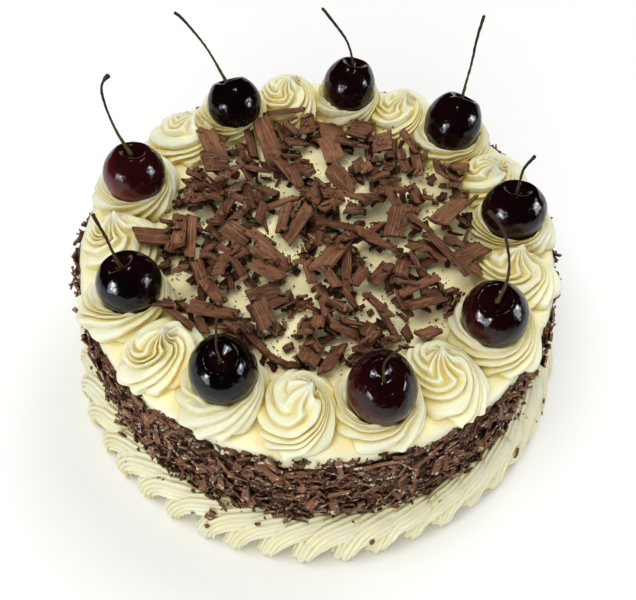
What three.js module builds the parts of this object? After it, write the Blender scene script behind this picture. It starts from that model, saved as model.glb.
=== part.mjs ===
// Black forest cake: a round cake under smooth cream, with a band of chocolate flakes round its side,
// a rope of piped cream round its foot, a bed of chocolate flakes on top, and a ring of piped cream
// rosettes, every second one holding a cherry with its stem.
// Millimetres, +Z up. The origin is the middle of the cake's flat base.
// Azimuths are in degrees, clockwise from +Y as seen from above.
import * as THREE from "three";

// Cake under its cream.
const CAKE_RADIUS = 101;
const CAKE_HEIGHT = 76;
const SHOULDER = 3;
const CAKE_COLUMNS = 60;

// Space left between two pieces that touch.
const GAP = 0.3;

// Rope of piped cream round the foot.
const ROPE_RADIUS = 115;
const ROPE_HEIGHT = 24.6;
const ROPE_STROKES = 46;
const ROPE_SWEEP = 7;

// Band of flakes round the side.
const BAND_BOTTOM = 25.4;
const BAND_TOP = 72.5;
const BAND_DEPTH = 3.6;

// Bed of flakes on top.
const BED_RADIUS = 62;
const BED_HEIGHT = 5;
const BED_COLUMNS = 36;

// Ring of rosettes.
const RING_RADIUS = 84;
const ROSETTE_REACH = 17.6;
const ROSETTE_WIDEST = 15.8;
const ROSETTE_HEIGHT = 16;
const ROSETTE_RIDGES = 12;

// Cherries. Each row gives the azimuth and distance from the middle of the cake, the height of the
// cherry's middle, its width, its height, and the direction in which its stem end leans: [x, y] for
// each unit of height. The stem's middle and tip are measured from the dimple that it grows from.
const DIMPLE = 3;
const DIMPLE_SPREAD = 0.33;
const STEM_RADIUS = 0.8;
const STEM_SIDES = 5;
const STEM_STEPS = 6;
const CHERRIES = [
  { azimuth: 8.5, distance: 80.5, middle: 92, width: 24, height: 26, lean: [0.2, 0.36], bend: [0, -4, 13], tip: [-16, 0, 29] },
  { azimuth: 46, distance: 82, middle: 92, width: 25, height: 27.5, lean: [0.4, 0.6], bend: [1, 6, 20], tip: [3, 9, 37] },
  { azimuth: 86, distance: 81, middle: 92, width: 27, height: 24.5, lean: [0, 0.3], bend: [-3, -2, 12], tip: [1, -4, 23] },
  { azimuth: 124.5, distance: 82.5, middle: 92, width: 25.5, height: 26, lean: [-0.2, -0.1], bend: [8, 7, 20], tip: [-9, 11, 37] },
  { azimuth: 163, distance: 83.5, middle: 92, width: 25.5, height: 27.5, lean: [0, -0.25], bend: [-3, -2, 18], tip: [2, -8, 33] },
  { azimuth: 203.5, distance: 81.5, middle: 92, width: 25, height: 26, lean: [0, -0.15], bend: [-1, -3, 16], tip: [2, -4, 32] },
  { azimuth: 242.5, distance: 81.5, middle: 92, width: 25.5, height: 24.5, lean: [-0.3, 0.25], bend: [-2, 0, 16], tip: [-3, -2, 30] },
  { azimuth: 284, distance: 81.5, middle: 92, width: 26.5, height: 26, lean: [0.05, 0.25], bend: [-16, 10, 23], tip: [-4, 5, 35] },
  { azimuth: 328.5, distance: 78, middle: 90.5, width: 25, height: 24.5, lean: [-0.35, 0.7], bend: [-14, 12, 21], tip: [-22, 8, 30] },
];

// Plain rosettes, each one clockwise of the cherry in the same row. The peak's lean is to the
// rosette's clockwise side and outwards.
const PLAIN_ROSETTES = [
  { azimuth: 26, lean: [0, 0] },
  { azimuth: 65.5, lean: [0, -1] },
  { azimuth: 103, lean: [-4, -2] },
  { azimuth: 144, lean: [0, -4] },
  { azimuth: 183.5, lean: [-1, -4] },
  { azimuth: 223.5, lean: [1, -1] },
  { azimuth: 264.5, lean: [4, 0] },
  { azimuth: 308, lean: [2, -2] },
  { azimuth: 349, lean: [-2, 2] },
];

const DEGREE = Math.PI / 180;

const cream = new THREE.MeshStandardMaterial({ color: 0xf4eecb, roughness: 0.5, metalness: 0 });
const pipedCream = new THREE.MeshStandardMaterial({ color: 0xf6f1d2, roughness: 0.45, metalness: 0 });
const chocolate = new THREE.MeshStandardMaterial({ color: 0x5c4036, roughness: 0.6, metalness: 0 });
const cherrySkin = new THREE.MeshStandardMaterial({ color: 0x1c0709, roughness: 0.12, metalness: 0 });
const stemSkin = new THREE.MeshStandardMaterial({ color: 0x3b3420, roughness: 0.55, metalness: 0 });

// A repeatable number from 0 to 1 for a pair of whole numbers.
function scatter(column, row) {
  const wave = Math.sin(column * 12.9898 + row * 78.233) * 43758.5453;
  return wave - Math.floor(wave);
}

// A closed solid from a ball's grid: row 0 is its top pole and the last row its bottom pole.
// place(column, row) gives each grid point's position.
function closedSolid(columns, rows, place) {
  const geometry = new THREE.SphereGeometry(1, columns, rows);
  const position = geometry.getAttribute("position");
  for (let i = 0; i < position.count; i += 1) {
    const row = Math.floor(i / (columns + 1));
    const atPole = row === 0 || row === rows;
    const column = atPole ? 0 : i % (columns + 1) % columns;
    const point = place(column, row);
    position.setXYZ(i, point.x, point.y, point.z);
  }
  geometry.computeVertexNormals();
  return geometry;
}

// A closed ring from a torus's grid: section(column) gives the ring's outline as [radius, height, twist]
// points, from the outside over the top to the inside and back underneath.
function closedRing(columns, corners, section) {
  const geometry = new THREE.TorusGeometry(1, 0.1, corners, columns);
  const position = geometry.getAttribute("position");
  for (let i = 0; i < position.count; i += 1) {
    const corner = Math.floor(i / (columns + 1)) % corners;
    const column = i % (columns + 1) % columns;
    const [radius, height, twist] = section(column)[corner];
    const turn = (360 * column / columns + twist) * DEGREE;
    position.setXYZ(i, radius * Math.cos(turn), radius * Math.sin(turn), height);
  }
  geometry.computeVertexNormals();
  return geometry;
}

function named(name, geometry, material) {
  const mesh = new THREE.Mesh(geometry, material);
  mesh.name = name;
  return mesh;
}

function cakeBody() {
  const middleOfShoulder = SHOULDER * Math.SQRT1_2;
  const profile = [
    new THREE.Vector2(0, 0),
    new THREE.Vector2(CAKE_RADIUS, 0),
    new THREE.Vector2(CAKE_RADIUS, CAKE_HEIGHT - SHOULDER),
    new THREE.Vector2(CAKE_RADIUS - SHOULDER + middleOfShoulder, CAKE_HEIGHT - SHOULDER + middleOfShoulder),
    new THREE.Vector2(CAKE_RADIUS - SHOULDER, CAKE_HEIGHT),
    new THREE.Vector2(0, CAKE_HEIGHT),
  ];
  const geometry = new THREE.LatheGeometry(profile, CAKE_COLUMNS);
  geometry.rotateX(Math.PI / 2);
  return named("cake_body", geometry, cream);
}

// Overlapping slanted strokes: each stroke's crest leans counter-clockwise as it climbs the side.
function baseBorder() {
  const samples = 3;
  const crest = [0, 1, 0.55];
  const inner = CAKE_RADIUS + GAP + 0.1;
  const section = (column) => {
    const stroke = Math.floor(column / samples);
    const bulge = 2.4 * crest[column % samples];
    const wander = 0.8 * scatter(stroke, 3);
    const groove = 2.4 - bulge + wander;
    return [
      [ROPE_RADIUS - groove, 5, 0],
      [ROPE_RADIUS - 3.5 - groove, 14, ROPE_SWEEP * 0.5],
      [ROPE_RADIUS - 9 - groove * 0.6, 21.5, ROPE_SWEEP],
      [inner, ROPE_HEIGHT - groove * 0.4, ROPE_SWEEP * 1.2],
      [inner, 0, ROPE_SWEEP * 1.2],
      [ROPE_RADIUS - 1.5 - groove, 0, 0],
    ];
  };
  return named("base_border", closedRing(ROPE_STROKES * samples, 6, section), pipedCream);
}

function sideFlakes() {
  const inner = CAKE_RADIUS + GAP + 0.1;
  const section = (column) => [
    [inner + BAND_DEPTH * (0.7 + 0.5 * scatter(column, 1)), BAND_BOTTOM + 8, 0],
    [inner + BAND_DEPTH * (0.5 + 0.6 * scatter(column, 2)), BAND_TOP - 9 + 4 * scatter(column, 3), 0],
    [inner, BAND_TOP - 3 * scatter(column, 4), 0],
    [inner, BAND_BOTTOM, 0],
    [inner + BAND_DEPTH * 0.6, BAND_BOTTOM + 2 * scatter(column, 5), 0],
  ];
  return named("side_flakes", closedRing(CAKE_COLUMNS, 5, section), chocolate);
}

function topFlakes() {
  const reach = [0, 0.25, 0.5, 0.75, 0.94, 1, 0];
  const rise = [0.8, 0.8, 0.8, 0.8, 0.8, 0, 0];
  const place = (column, row) => {
    const turn = 360 * column / BED_COLUMNS * DEGREE;
    const edge = row >= 4 ? 0.97 + 0.05 * scatter(column, 7) : 1;
    const radius = BED_RADIUS * reach[row] * edge;
    const uneven = rise[row] * (0.6 + 0.8 * scatter(column, row));
    return new THREE.Vector3(
      radius * Math.cos(turn),
      radius * Math.sin(turn),
      CAKE_HEIGHT + GAP + BED_HEIGHT * uneven,
    );
  };
  return named("top_flakes", closedSolid(BED_COLUMNS, 6, place), chocolate);
}

// Half the room between two neighbours on the ring, as a width at the rosettes' middles.
function halfRoom(azimuth, neighbour) {
  const apart = Math.abs((neighbour - azimuth + 540) % 360 - 180);
  return Math.min(RING_RADIUS * Math.sin(apart / 2 * DEGREE) - GAP, ROSETTE_WIDEST);
}

// A rosette's own frame: x is clockwise round the cake, y outwards, and z = 0 at its base.
function rosetteOutline(turn, before, after) {
  const width = Math.cos(turn) > 0 ? after : before;
  return { x: width * Math.cos(turn), y: ROSETTE_REACH * Math.sin(turn) };
}

function placedRosette(name, geometry, azimuth) {
  const mesh = named(name, geometry, pipedCream);
  const turn = azimuth * DEGREE;
  mesh.position.set(RING_RADIUS * Math.sin(turn), RING_RADIUS * Math.cos(turn), CAKE_HEIGHT + GAP);
  mesh.rotation.z = -turn;
  return mesh;
}

// Ridges run from the base to the peak and wind counter-clockwise on the way up.
function plainRosette(name, rosette, before, after) {
  const columns = 2 * ROSETTE_RIDGES;
  const reach = [0, 0.3, 0.58, 0.86, 1, 0.93, 0];
  const rise = [1, 0.84, 0.66, 0.42, 0.16, 0, 0];
  const twist = [0, 150, 105, 55, 18, 0, 0];
  const groove = [0, 0.16, 0.15, 0.1, 0.06, 0.06, 0];
  const place = (column, row) => {
    const turn = (360 * column / columns + twist[row]) * DEGREE;
    const outline = rosetteOutline(turn, before, after);
    const depth = column % 2 ? 1 - groove[row] : 1;
    const lean = rise[row] * rise[row];
    return new THREE.Vector3(
      outline.x * reach[row] * depth + rosette.lean[0] * lean,
      outline.y * reach[row] * depth + rosette.lean[1] * lean,
      ROSETTE_HEIGHT * rise[row],
    );
  };
  return placedRosette(name, closedSolid(columns, 6, place), rosette.azimuth);
}

// The same piping pressed down in the middle by a cherry: its hollow follows the cherry's underside.
function cherryRosette(name, cherry, before, after) {
  const columns = 2 * ROSETTE_RIDGES;
  const base = CAKE_HEIGHT + GAP;
  const hollow = [0, 0.38, 0.7, 0.93];
  const reach = [0, 0, 0, 0, 1, 0.93, 0];
  const rise = [0, 0, 0, 0, 0.26, 0, 0];
  const twist = [0, 50, 50, 50, 18, 0, 0];
  const groove = [0, 0, 0, 0, 0.06, 0.06, 0];
  const hollowRadius = Math.max(cherry.width, cherry.height) / 2 + 2 * GAP;
  const offset = cherry.distance - RING_RADIUS;
  const place = (column, row) => {
    const turn = (360 * column / columns + twist[row]) * DEGREE;
    if (row < hollow.length) {
      const drop = Math.sqrt(1 - hollow[row] ** 2);
      const crest = row === 3 && column % 2 === 0 ? 1.2 : 0;
      return new THREE.Vector3(
        (hollowRadius * hollow[row] + crest) * Math.cos(turn),
        (hollowRadius * hollow[row] + crest) * Math.sin(turn) + offset,
        cherry.middle - base - hollowRadius * drop,
      );
    }
    const outline = rosetteOutline(turn, before, after);
    const depth = column % 2 ? 1 - groove[row] : 1;
    return new THREE.Vector3(
      outline.x * reach[row] * depth,
      outline.y * reach[row] * depth,
      ROSETTE_HEIGHT * rise[row],
    );
  };
  return placedRosette(name, closedSolid(columns, 6, place), cherry.azimuth);
}

// The cherry and its stem share a frame that leans as the stem end does.
function middleOf(cherry) {
  const turn = cherry.azimuth * DEGREE;
  return new THREE.Vector3(cherry.distance * Math.sin(turn), cherry.distance * Math.cos(turn), cherry.middle);
}

function leanOf(cherry) {
  const stemEnd = new THREE.Vector3(cherry.lean[0], cherry.lean[1], 1).normalize();
  return new THREE.Quaternion().setFromUnitVectors(new THREE.Vector3(0, 0, 1), stemEnd);
}

function cherryFruit(name, cherry) {
  const columns = 12;
  const rows = 7;
  const place = (column, row) => {
    const turn = 360 * column / columns * DEGREE;
    const down = Math.PI * row / rows;
    const out = Math.sin(down);
    const dimple = row < rows / 2 ? DIMPLE * Math.exp(-((out / DIMPLE_SPREAD) ** 2)) : 0;
    return new THREE.Vector3(
      cherry.width / 2 * out * Math.cos(turn),
      cherry.height / 2 * out * Math.sin(turn),
      cherry.height / 2 * Math.cos(down) - dimple,
    );
  };
  const mesh = named(name, closedSolid(columns, rows, place), cherrySkin);
  mesh.position.copy(middleOf(cherry));
  mesh.quaternion.copy(leanOf(cherry));
  return mesh;
}

function cherryStem(name, cherry) {
  const dimple = new THREE.Vector3(0, 0, cherry.height / 2 - DIMPLE + 3 * GAP);
  const foot = middleOf(cherry).add(dimple.applyQuaternion(leanOf(cherry)));
  const bend = foot.clone().add(new THREE.Vector3(...cherry.bend));
  const tip = foot.clone().add(new THREE.Vector3(...cherry.tip));
  const section = new THREE.Shape();
  for (let side = 0; side < STEM_SIDES; side += 1) {
    const turn = 2 * Math.PI * side / STEM_SIDES;
    const x = STEM_RADIUS * Math.cos(turn);
    const y = STEM_RADIUS * Math.sin(turn);
    if (side === 0) section.moveTo(x, y);
    else section.lineTo(x, y);
  }
  section.closePath();
  const geometry = new THREE.ExtrudeGeometry(section, {
    steps: STEM_STEPS,
    bevelEnabled: false,
    extrudePath: new THREE.QuadraticBezierCurve3(foot, bend, tip),
  });
  return named(name, geometry, stemSkin);
}

const cake = new THREE.Group();
cake.add(cakeBody(), sideFlakes(), baseBorder(), topFlakes());
CHERRIES.forEach((cherry, i) => {
  const last = PLAIN_ROSETTES.length - 1;
  const plain = PLAIN_ROSETTES[i];
  const plainBefore = PLAIN_ROSETTES[i === 0 ? last : i - 1];
  const cherryAfter = CHERRIES[i === last ? 0 : i + 1];
  const toPlainBefore = halfRoom(cherry.azimuth, plainBefore.azimuth);
  const toPlain = halfRoom(cherry.azimuth, plain.azimuth);
  const toCherryAfter = halfRoom(plain.azimuth, cherryAfter.azimuth);
  const number = i + 1;
  cake.add(cherryRosette("cherry_rosette_" + number, cherry, toPlainBefore, toPlain));
  cake.add(plainRosette("plain_rosette_" + number, plain, toPlain, toCherryAfter));
  cake.add(cherryFruit("cherry_" + number, cherry));
  cake.add(cherryStem("stem_" + number, cherry));
});

export default cake;
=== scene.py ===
import math

import bmesh
import bpy
import numpy as np
from bpy.props import FloatProperty, FloatVectorProperty, IntProperty, PointerProperty
from mathutils import Matrix, Vector


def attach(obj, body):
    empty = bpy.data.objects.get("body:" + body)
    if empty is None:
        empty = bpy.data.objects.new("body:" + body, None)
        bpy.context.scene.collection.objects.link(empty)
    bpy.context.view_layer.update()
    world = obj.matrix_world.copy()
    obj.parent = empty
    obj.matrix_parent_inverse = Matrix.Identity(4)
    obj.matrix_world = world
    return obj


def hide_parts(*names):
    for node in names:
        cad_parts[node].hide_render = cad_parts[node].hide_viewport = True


bl_info = {
    "name": "Black Forest Cake",
    "version": (1, 0, 0),
    "blender": (4, 5, 0),
    "location": "View3D > Sidebar > Cake",
    "description": "Makes a cream cake with piped rosettes, cherries and chocolate flakes",
    "category": "Object",
}

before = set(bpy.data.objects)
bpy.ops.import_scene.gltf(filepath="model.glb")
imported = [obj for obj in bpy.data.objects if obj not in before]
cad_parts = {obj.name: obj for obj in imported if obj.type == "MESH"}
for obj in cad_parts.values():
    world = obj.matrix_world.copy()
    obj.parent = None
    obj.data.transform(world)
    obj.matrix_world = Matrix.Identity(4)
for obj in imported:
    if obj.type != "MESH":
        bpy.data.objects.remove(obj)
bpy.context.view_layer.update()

# Sizes are in millimetres, and azimuths in degrees clockwise from +Y as seen from above.
MM = 0.001
UP = np.array((0.0, 0.0, 1.0))
CAKE_RADIUS = 101.0
CAKE_HEIGHT = 76.0
SHOULDER = 3.0

# The ring of rosettes: how many pairs there are, how far they reach in and out, a plain one's greatest
# half width, how much of the room between two neighbours a plain rosette and a cherry's skirt take up,
# how far they run into each other, and how far they sink into the coat.
RING_RADIUS = 84.0
PAIRS = 9
ROSETTE_REACH = 17.6
WIDEST = 15.8
PLAIN_PART = 0.93
SKIRT_PART = 1.07
OVERLAP = 0.8
SUNK = 1.5

# The mounds that stand for the rosettes where flakes lean on them.
MOUND_RADIUS = 17.0
MOUND_HEIGHT = 14.0

# The rope round the foot: its strokes lie straighter about one azimuth and are toothed at the foot about
# another, each with its spread in degrees. Below ROPE_LEVEL the side's flakes stand out over the rope.
STRAIGHT_STROKES = (148, 24)
TOOTHED_STROKES = (245, 40)
ROPE_LEVEL = 26.5

# The band of chocolate on the side, and where its top rises: azimuth, spread and height.
BAND_BOTTOM = 17.0
BAND_TOP = 72.5
BAND_RISE = (238, 25, 2.0)

# The bed of flakes on top, and the steepest slope of a flake in it.
BED_RADIUS = 66.0
STEEPEST = 0.5

# How many kinds of small flake and of crumb there are.
SLIPS = 8
CRUMBS = 6

# Columns round the coat, the rope's core and the side's chocolate, and columns and rows of the round
# meshes.
COAT_COLUMNS = 240
CORE_COLUMNS = 368
BAND_COLUMNS = 900
ROSETTE_GRID = (192, 96)
STROKE_GRID = (90, 42)
CHERRY_GRID = (80, 64)
STEM_GRID = (14, 44)

# Each cherry's azimuth, distance from the middle of the cake, height of its own middle, width, height and
# the lean of its stem end, and its stem's bend and tip from where the stem leaves the dimple.
CHERRIES = (
    (8.5, 80.5, 92, 24, 26, (0.2, 0.36), (0, -4, 13), (-16, 0, 29)),
    (46, 82, 92, 25, 27.5, (0.4, 0.6), (1, 6, 20), (3, 9, 37)),
    (86, 81, 92, 27, 24.5, (0, 0.3), (-3, -2, 12), (1, -4, 23)),
    (124.5, 82.5, 92, 25.5, 26, (-0.2, -0.1), (8, 7, 20), (-9, 11, 37)),
    (163, 83.5, 92, 25.5, 27.5, (0, -0.25), (-3, -2, 18), (2, -8, 33)),
    (203.5, 81.5, 92, 25, 26, (0, -0.15), (-1, -3, 16), (2, -4, 32)),
    (242.5, 81.5, 92, 25.5, 24.5, (-0.3, 0.25), (-2, 0, 16), (-3, -2, 30)),
    (284, 81.5, 92, 26.5, 26, (0.05, 0.25), (-16, 10, 23), (-4, 5, 35)),
    (328.5, 78, 90.5, 25, 24.5, (-0.35, 0.7), (-14, 12, 21), (-22, 8, 30)),
)

# The direction of each cherry's seam from +X, and how red it is: a little all over, and more low on its
# left side, where the red is painted light.
CHERRY_SEAMS = (250, 200, 290, 230, 300, 270, 240, 300, 255)
CHERRY_RED_AND_PAINTED_LIGHT = (0.07, 0.03, 0.07, 0.22, 0.40, 0.0, 0.0, 0.95, 0.03)

# How thick each stem's knob is, and each stem as a whole.
STEM_KNOBS = (0.85, 0.85, 0.85, 1.0, 0.85, 0.85, 0.85, 1.15, 0.85)
STEM_GIRTHS = (1.0, 1.0, 1.0, 1.0, 0.75, 0.7, 1.0, 1.0, 1.0)

# Each plain rosette's azimuth, lean of its peak (clockwise, outwards), drag of the tip, turn of its
# ridges in degrees, how much more they turn on one side, the direction of that side in the rosette's
# own frame, and how many ridges there are.
PLAIN_ROSETTES = (
    (26, (0, 0), (1.5, 1), 120, 25, 200, 10),
    (65.5, (0, -1), (2, 0), 115, 25, 300, 10),
    (103, (-4, -2), (-2, 1), 110, 30, 250, 10),
    (144, (0, -4), (-1, -2), 120, 30, 20, 11),
    (183.5, (-1, -4), (-3.5, -1), 135, 45, 20, 10),
    (223.5, (1, -1), (0, -2), 120, 35, 340, 9),
    (264.5, (4, 0), (2, 0), 120, 30, 300, 10),
    (312, (3, -4), (1, 1), 115, 25, 200, 10),
    (349, (-2, 2), (2, 1), 120, 25, 180, 10),
)

# How much further out each rosette reaches, in the order of the cherries and of the plain rosettes.
CHERRY_REACH = (0, 0.5, -0.4, 1.5, 0.2, 0.4, 2.0, 0.2, 0)
PLAIN_REACH = (0, -1.3, 0.7, 0.9, 0, 1.0, -3.0, -1.0, 0)

# The larger flakes on top: x, y, length, width and the turn of the length from +X, laid in this order.
# The last few lie flatter than the others, and all are moved a little to the front.
FLAT_FLAKES = 3
FLAT_SLOPE = 0.15
FLAKE_SHIFT = 1.8
LAID_FLAKES = (
    (-24, 53, 26, 9, -66), (-15, 36, 20, 7, -43), (-33, 55, 18, 4, -75), (-19, 61, 14, 3.5, -70),
    (-14, 61, 11, 3, -35), (-7, 62, 14, 7, 92), (-12, 53, 9, 6, 15), (-14, 44, 12, 3.5, 40),
    (-8, 42, 11, 4, 42), (-7, 35, 9, 8, 60), (-50, 52, 14, 5, -3), (-48, 43, 18, 9, -62),
    (-46, 34, 12, 8, 20), (-40, 29, 14, 4.5, 60), (-34, 34, 11, 3, -52), (-29, 35, 8, 7.5, 30),
    (-31, 22, 14, 5, -70), (-24, 25, 13, 5, -35), (-18, 17, 18, 4, 22), (-55, 24, 10, 6, -55),
    (-56, 31, 8, 4, -15), (-46, 22, 11, 4, -25), (-36, 26, 7, 5, 70), (-52, 14, 8, 7, 40),
    (-46, 16, 8, 5, 10), (-42, 8, 18, 6, 62), (-56, 5, 12, 10.5, 10), (-34, 6, 12, 4, 72),
    (-36, 16, 9, 4, -30), (-15, 9, 15, 5, 80), (-9, 4, 18, 6, 52), (-2, 23, 14, 8, 65),
    (-11, 29, 10, 5, -60), (4, 63, 6, 3, 5), (16, 62, 6, 3, 80), (13, 53, 16, 5, 3),
    (28, 54, 9, 8, 5), (4, 49, 12, 8, -60), (17, 42, 16, 5, 95), (25, 45, 10, 4, 35),
    (31, 42, 10, 5, 70), (37, 44, 15, 4, 100), (43, 44, 19, 4, 95), (40, 53, 12, 5, -45),
    (9, 35, 14, 8, -50), (5, 25, 11, 9, 20), (26, 33, 11, 5, 40), (31, 31, 15, 4, 55),
    (20, 34, 8, 4, 100), (59, 29, 17, 5, 70), (55, 34, 12, 9.5, -25), (61, 36.5, 9, 7.5, -25),
    (24, 21, 14, 5, 20), (19, 23, 7, 5, 60), (20, 16, 17, 4, 25), (32, 16, 12, 5, -50),
    (34, 22, 7, 5, 40), (42, 24, 9, 6, -60), (47, 23, 6, 5, 20), (56, 12, 20, 9.5, 50),
    (40, 15, 9.5, 6, 75), (33, 6, 15, 8, 75), (13, 11, 12, 4, 5), (9, 5, 19, 5, -5),
    (4, 15, 9, 6, 35), (12, 17, 7, 5, -40), (26, 8, 6, 3, 5), (24, 4, 9, 4, 35),
    (43, 6, 13, 3, -35), (-57, -7, 15, 5.5, 88), (-52, -8, 18, 4, 90), (-34, -5, 12, 8, -25),
    (-25, -4, 9, 6.5, -20), (-45, -8, 9, 3.5, 60), (-19, -15, 17, 8, -30), (-36, -13, 14, 2.5, -35),
    (-33, -17, 9, 4, 20), (-30, -24, 16, 3, -45), (-20, -25, 12, 7.5, -20), (-38, -22, 12, 5, 80),
    (-47, -25, 10, 5, -65), (-54, -25, 7, 4, 60), (-41, -32, 13, 6, -48), (-20, -35, 15, 8, 35),
    (-32, -46, 16, 4, 8), (-52, -38, 13, 3, -50), (-53, -46, 16, 3.5, -38), (-40, -41, 19, 7.5, 3),
    (-44, -48, 7, 4, -60), (-5, -14, 12, 5, 50), (-3, -21, 9, 4, -70), (-11, -35, 17, 2, 45),
    (-16, -39, 12, 4, 55), (-20, -46, 10, 7, -60), (-23, -54, 16, 3.5, -40), (-14, -61, 8, 3, -12),
    (-10, -54, 4, 3, 20), (-1, -58, 14, 8, 75), (-3, -47, 11, 5.5, 80), (-63, -17, 6, 4, 80),
    (12, -17, 25, 4, 92), (6, -12, 20, 8.5, 60), (13, -5, 10, 5, 40), (21, -3, 12, 6, -5),
    (25, -8, 13, 5, -12), (26, -19, 15, 7, 60), (17, -24, 9, 5, 55), (35, -17, 15, 6, 78),
    (41, -7, 9, 6, -40), (41, -15, 14, 3, -60), (44, -20, 7, 4, -50), (48, -7, 14, 5, -50),
    (52, -7, 18, 4, -48), (62, -10, 13, 9, 25), (63, -18, 8, 7, -20), (58, -21, 7, 4, -50),
    (36, -26, 10, 4, 10), (35, -32, 8, 5, -60), (41, -28, 18, 4.5, 28), (43, -35, 16, 6.5, 28),
    (54, -27, 8, 3, 40), (3, -34, 18, 4.5, -80), (6, -25, 8, 5, -50), (9, -37, 9.5, 5, -25),
    (13, -32, 8, 3, -45), (28, -43, 16, 3, -55), (24, -38, 18, 4.5, -60), (11, -47, 14, 6, -5),
    (15, -43, 12, 3, 12), (21, -47, 9, 5.5, 70), (7, -60, 17, 5, 68), (1, -47, 8, 5, 85),
    (44, -48, 9, 6, 30), (29, -51, 9, 4, 25), (36, -46, 6, 4, -60), (-44, 2, 6, 4, 30),
    (-25, 11, 9, 4, 75), (-61, -39, 9, 3, 12), (65, 16, 13, 1.6, 62), (22, -53, 8, 3, 60),
    (-59, -42, 9, 3, 15), (-18, 70, 19, 3.5, 3), (-68, -6.5, 15.5, 8.5, 22),
    (4, 61.3, 13.5, 12.5, 3), (17.5, 60.5, 10.5, 12, -8),
)

# Single flakes and crumbs off the side's band: azimuth, height, distance out, length, width and turn.
STRAY_FLAKES = (
    (201.6, 20, 110, 7, 3.2, 70), (190.9, 20, 108.5, 6, 2.2, 100), (178.7, 19, 106, 5, 3.6, 80),
    (201.8, 15.5, 113.2, 4.2, 2.4, 60), (166.6, 15, 112.6, 4.2, 2.8, 75),
    (205.6, 17, 111.5, 2.6, 1.6, 20), (127.4, 15.5, 112.6, 4.6, 2.6, 45),
    (111.2, 13, 113.4, 3, 2, 60), (113.5, 10, 114.6, 3, 2, 30), (116.9, 14, 113.2, 2.4, 1.6, 0),
    (108, 24, 106, 6, 3, 130), (269.6, 60, 104.6, 9, 4.5, 80),
    (269, 52, 104.4, 6, 3, 60), (239, 60, 104.2, 8, 4, 110), (236, 55, 104.6, 6, 4, 60),
    (84.7, 50, 104.8, 8, 4, 70), (86, 44, 104.6, 5, 3, 30), (225, 17, 111.8, 2, 1.4, 40),
    (150, 20, 108.5, 4.5, 2, 100), (215, 21, 108, 5, 2, 60), (172, 17, 110.2, 1.6, 1.2, 0),
)

# Patches on top that most flakes leave bare: x, y and radius.
BARE_PATCHES = (
    (-21, 6, 5), (-47, 5, 3), (-13, -8, 4), (-8, -25, 4), (-31, -35, 3.5), (-12, -57, 5), (-30, -48, 2),
    (-8, -44, 2), (25, -13, 4), (21, -28, 5), (52, -20, 6), (29, -35, 4), (36, -46, 3), (46, -42, 4),
    (2, 36, 4), (10, 45, 5), (13, 23, 4), (20, 28, 3), (25, 13, 4), (36, 30, 4), (47, 15, 5), (47, 28, 3),
    (-26, 48, 4), (-38, 58, 6), (-34, 22, 4), (-16, 25, 4), (-3, 46, 5),
)

# Where the lamps point, and the lamps: place and size in metres, power, colour, and whether they serve
# the diffuse light or the shine.
AIM = (0, 0, 0.07)
LAMPS = {
    "key": ((-0.65, -0.2, 2.1), 1.2, 25, (1.0, 1.0, 0.985), "diffuse"),
    "fill": ((0.75, 0.95, 1.9), 1.2, 19.5, (1.0, 1.0, 0.99), "diffuse"),
    "low": ((-0.2, -1.45, 0.75), 1.0, 10, (1.0, 1.0, 0.99), "diffuse"),
    "front_box": ((-0.66, -0.62, 0.34), 0.50, 6.5, (0.86, 0.91, 1.0), "glossy"),
    "front_core": ((-0.66, -0.60, 0.40), 0.18, 3.2, (1.0, 1.0, 1.0), "glossy"),
    "side_box": ((0.93, -0.12, 0.40), 0.44, 6, (0.86, 0.91, 1.0), "glossy"),
    "side_core": ((0.93, -0.10, 0.44), 0.16, 2.2, (1.0, 1.0, 1.0), "glossy"),
    "top_box": ((0.05, 0.25, 1.2), 0.12, 1.2, (1.0, 1.0, 1.0), "glossy"),
}

# The camera: its place in metres, its pitch down, yaw and roll in radians, its sensor in millimetres, and
# its focal length and the width of its view, both in picture points.
CAMERA_PLACE = (0.00102, -0.21908, 0.34591)
CAMERA_TURN = (0.9644, -0.0019, 0.0311)
SENSOR = 36
FOCAL_POINTS = 810.28
VIEW_POINTS = 636


# ---- Curves, waves and places


def curve(x, stops, values):
    """A smooth line through the given values at the given stops, read at every x."""
    stops = np.asarray(stops, float)
    values = np.asarray(values, float)
    slope = np.gradient(values, stops)
    i = np.clip(np.searchsorted(stops, x, side="right") - 1, 0, len(stops) - 2)
    span = stops[i + 1] - stops[i]
    t = np.clip((x - stops[i]) / span, 0, 1)
    rise = values[i] * (2 * t**3 - 3 * t**2 + 1) + values[i + 1] * (3 * t**2 - 2 * t**3)
    bend = slope[i] * (t**3 - 2 * t**2 + t) + slope[i + 1] * (t**3 - t**2)
    return rise + bend * span


def step(x, low, high):
    """0 below low, 1 above high, and a soft change between them."""
    t = np.clip((x - low) / (high - low), 0, 1)
    return t * t * (3 - 2 * t)


def near(x, middle, spread):
    """1 at the middle, and less and less away from it."""
    return np.exp(-(((x - middle) / spread) ** 2))


def unit(vectors):
    """The same directions with a length of 1."""
    return vectors / np.linalg.norm(vectors, axis=-1, keepdims=True)


def ripple(points, size, seed, waves=12):
    """Smooth uneven values, mostly from -1 to 1, whose bumps are about the given size."""
    chance = np.random.default_rng(seed)
    way = unit(chance.normal(size=(waves, 3)))
    way *= (math.tau / size * chance.uniform(0.55, 1.5, waves))[:, None]
    value = np.sin(points @ way.T + chance.uniform(0, math.tau, waves))
    return value.sum(axis=1) / math.sqrt(waves)


def on_ring(azimuth, distance):
    """The x and y of a place at that azimuth and distance from the middle of the cake."""
    turn = math.radians(azimuth)
    return distance * math.sin(turn), distance * math.cos(turn)


def outward_at(turn):
    """The direction away from the middle at an azimuth in radians."""
    return np.array((math.sin(turn), math.cos(turn), 0.0))


# ---- Meshes and pieces


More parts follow.
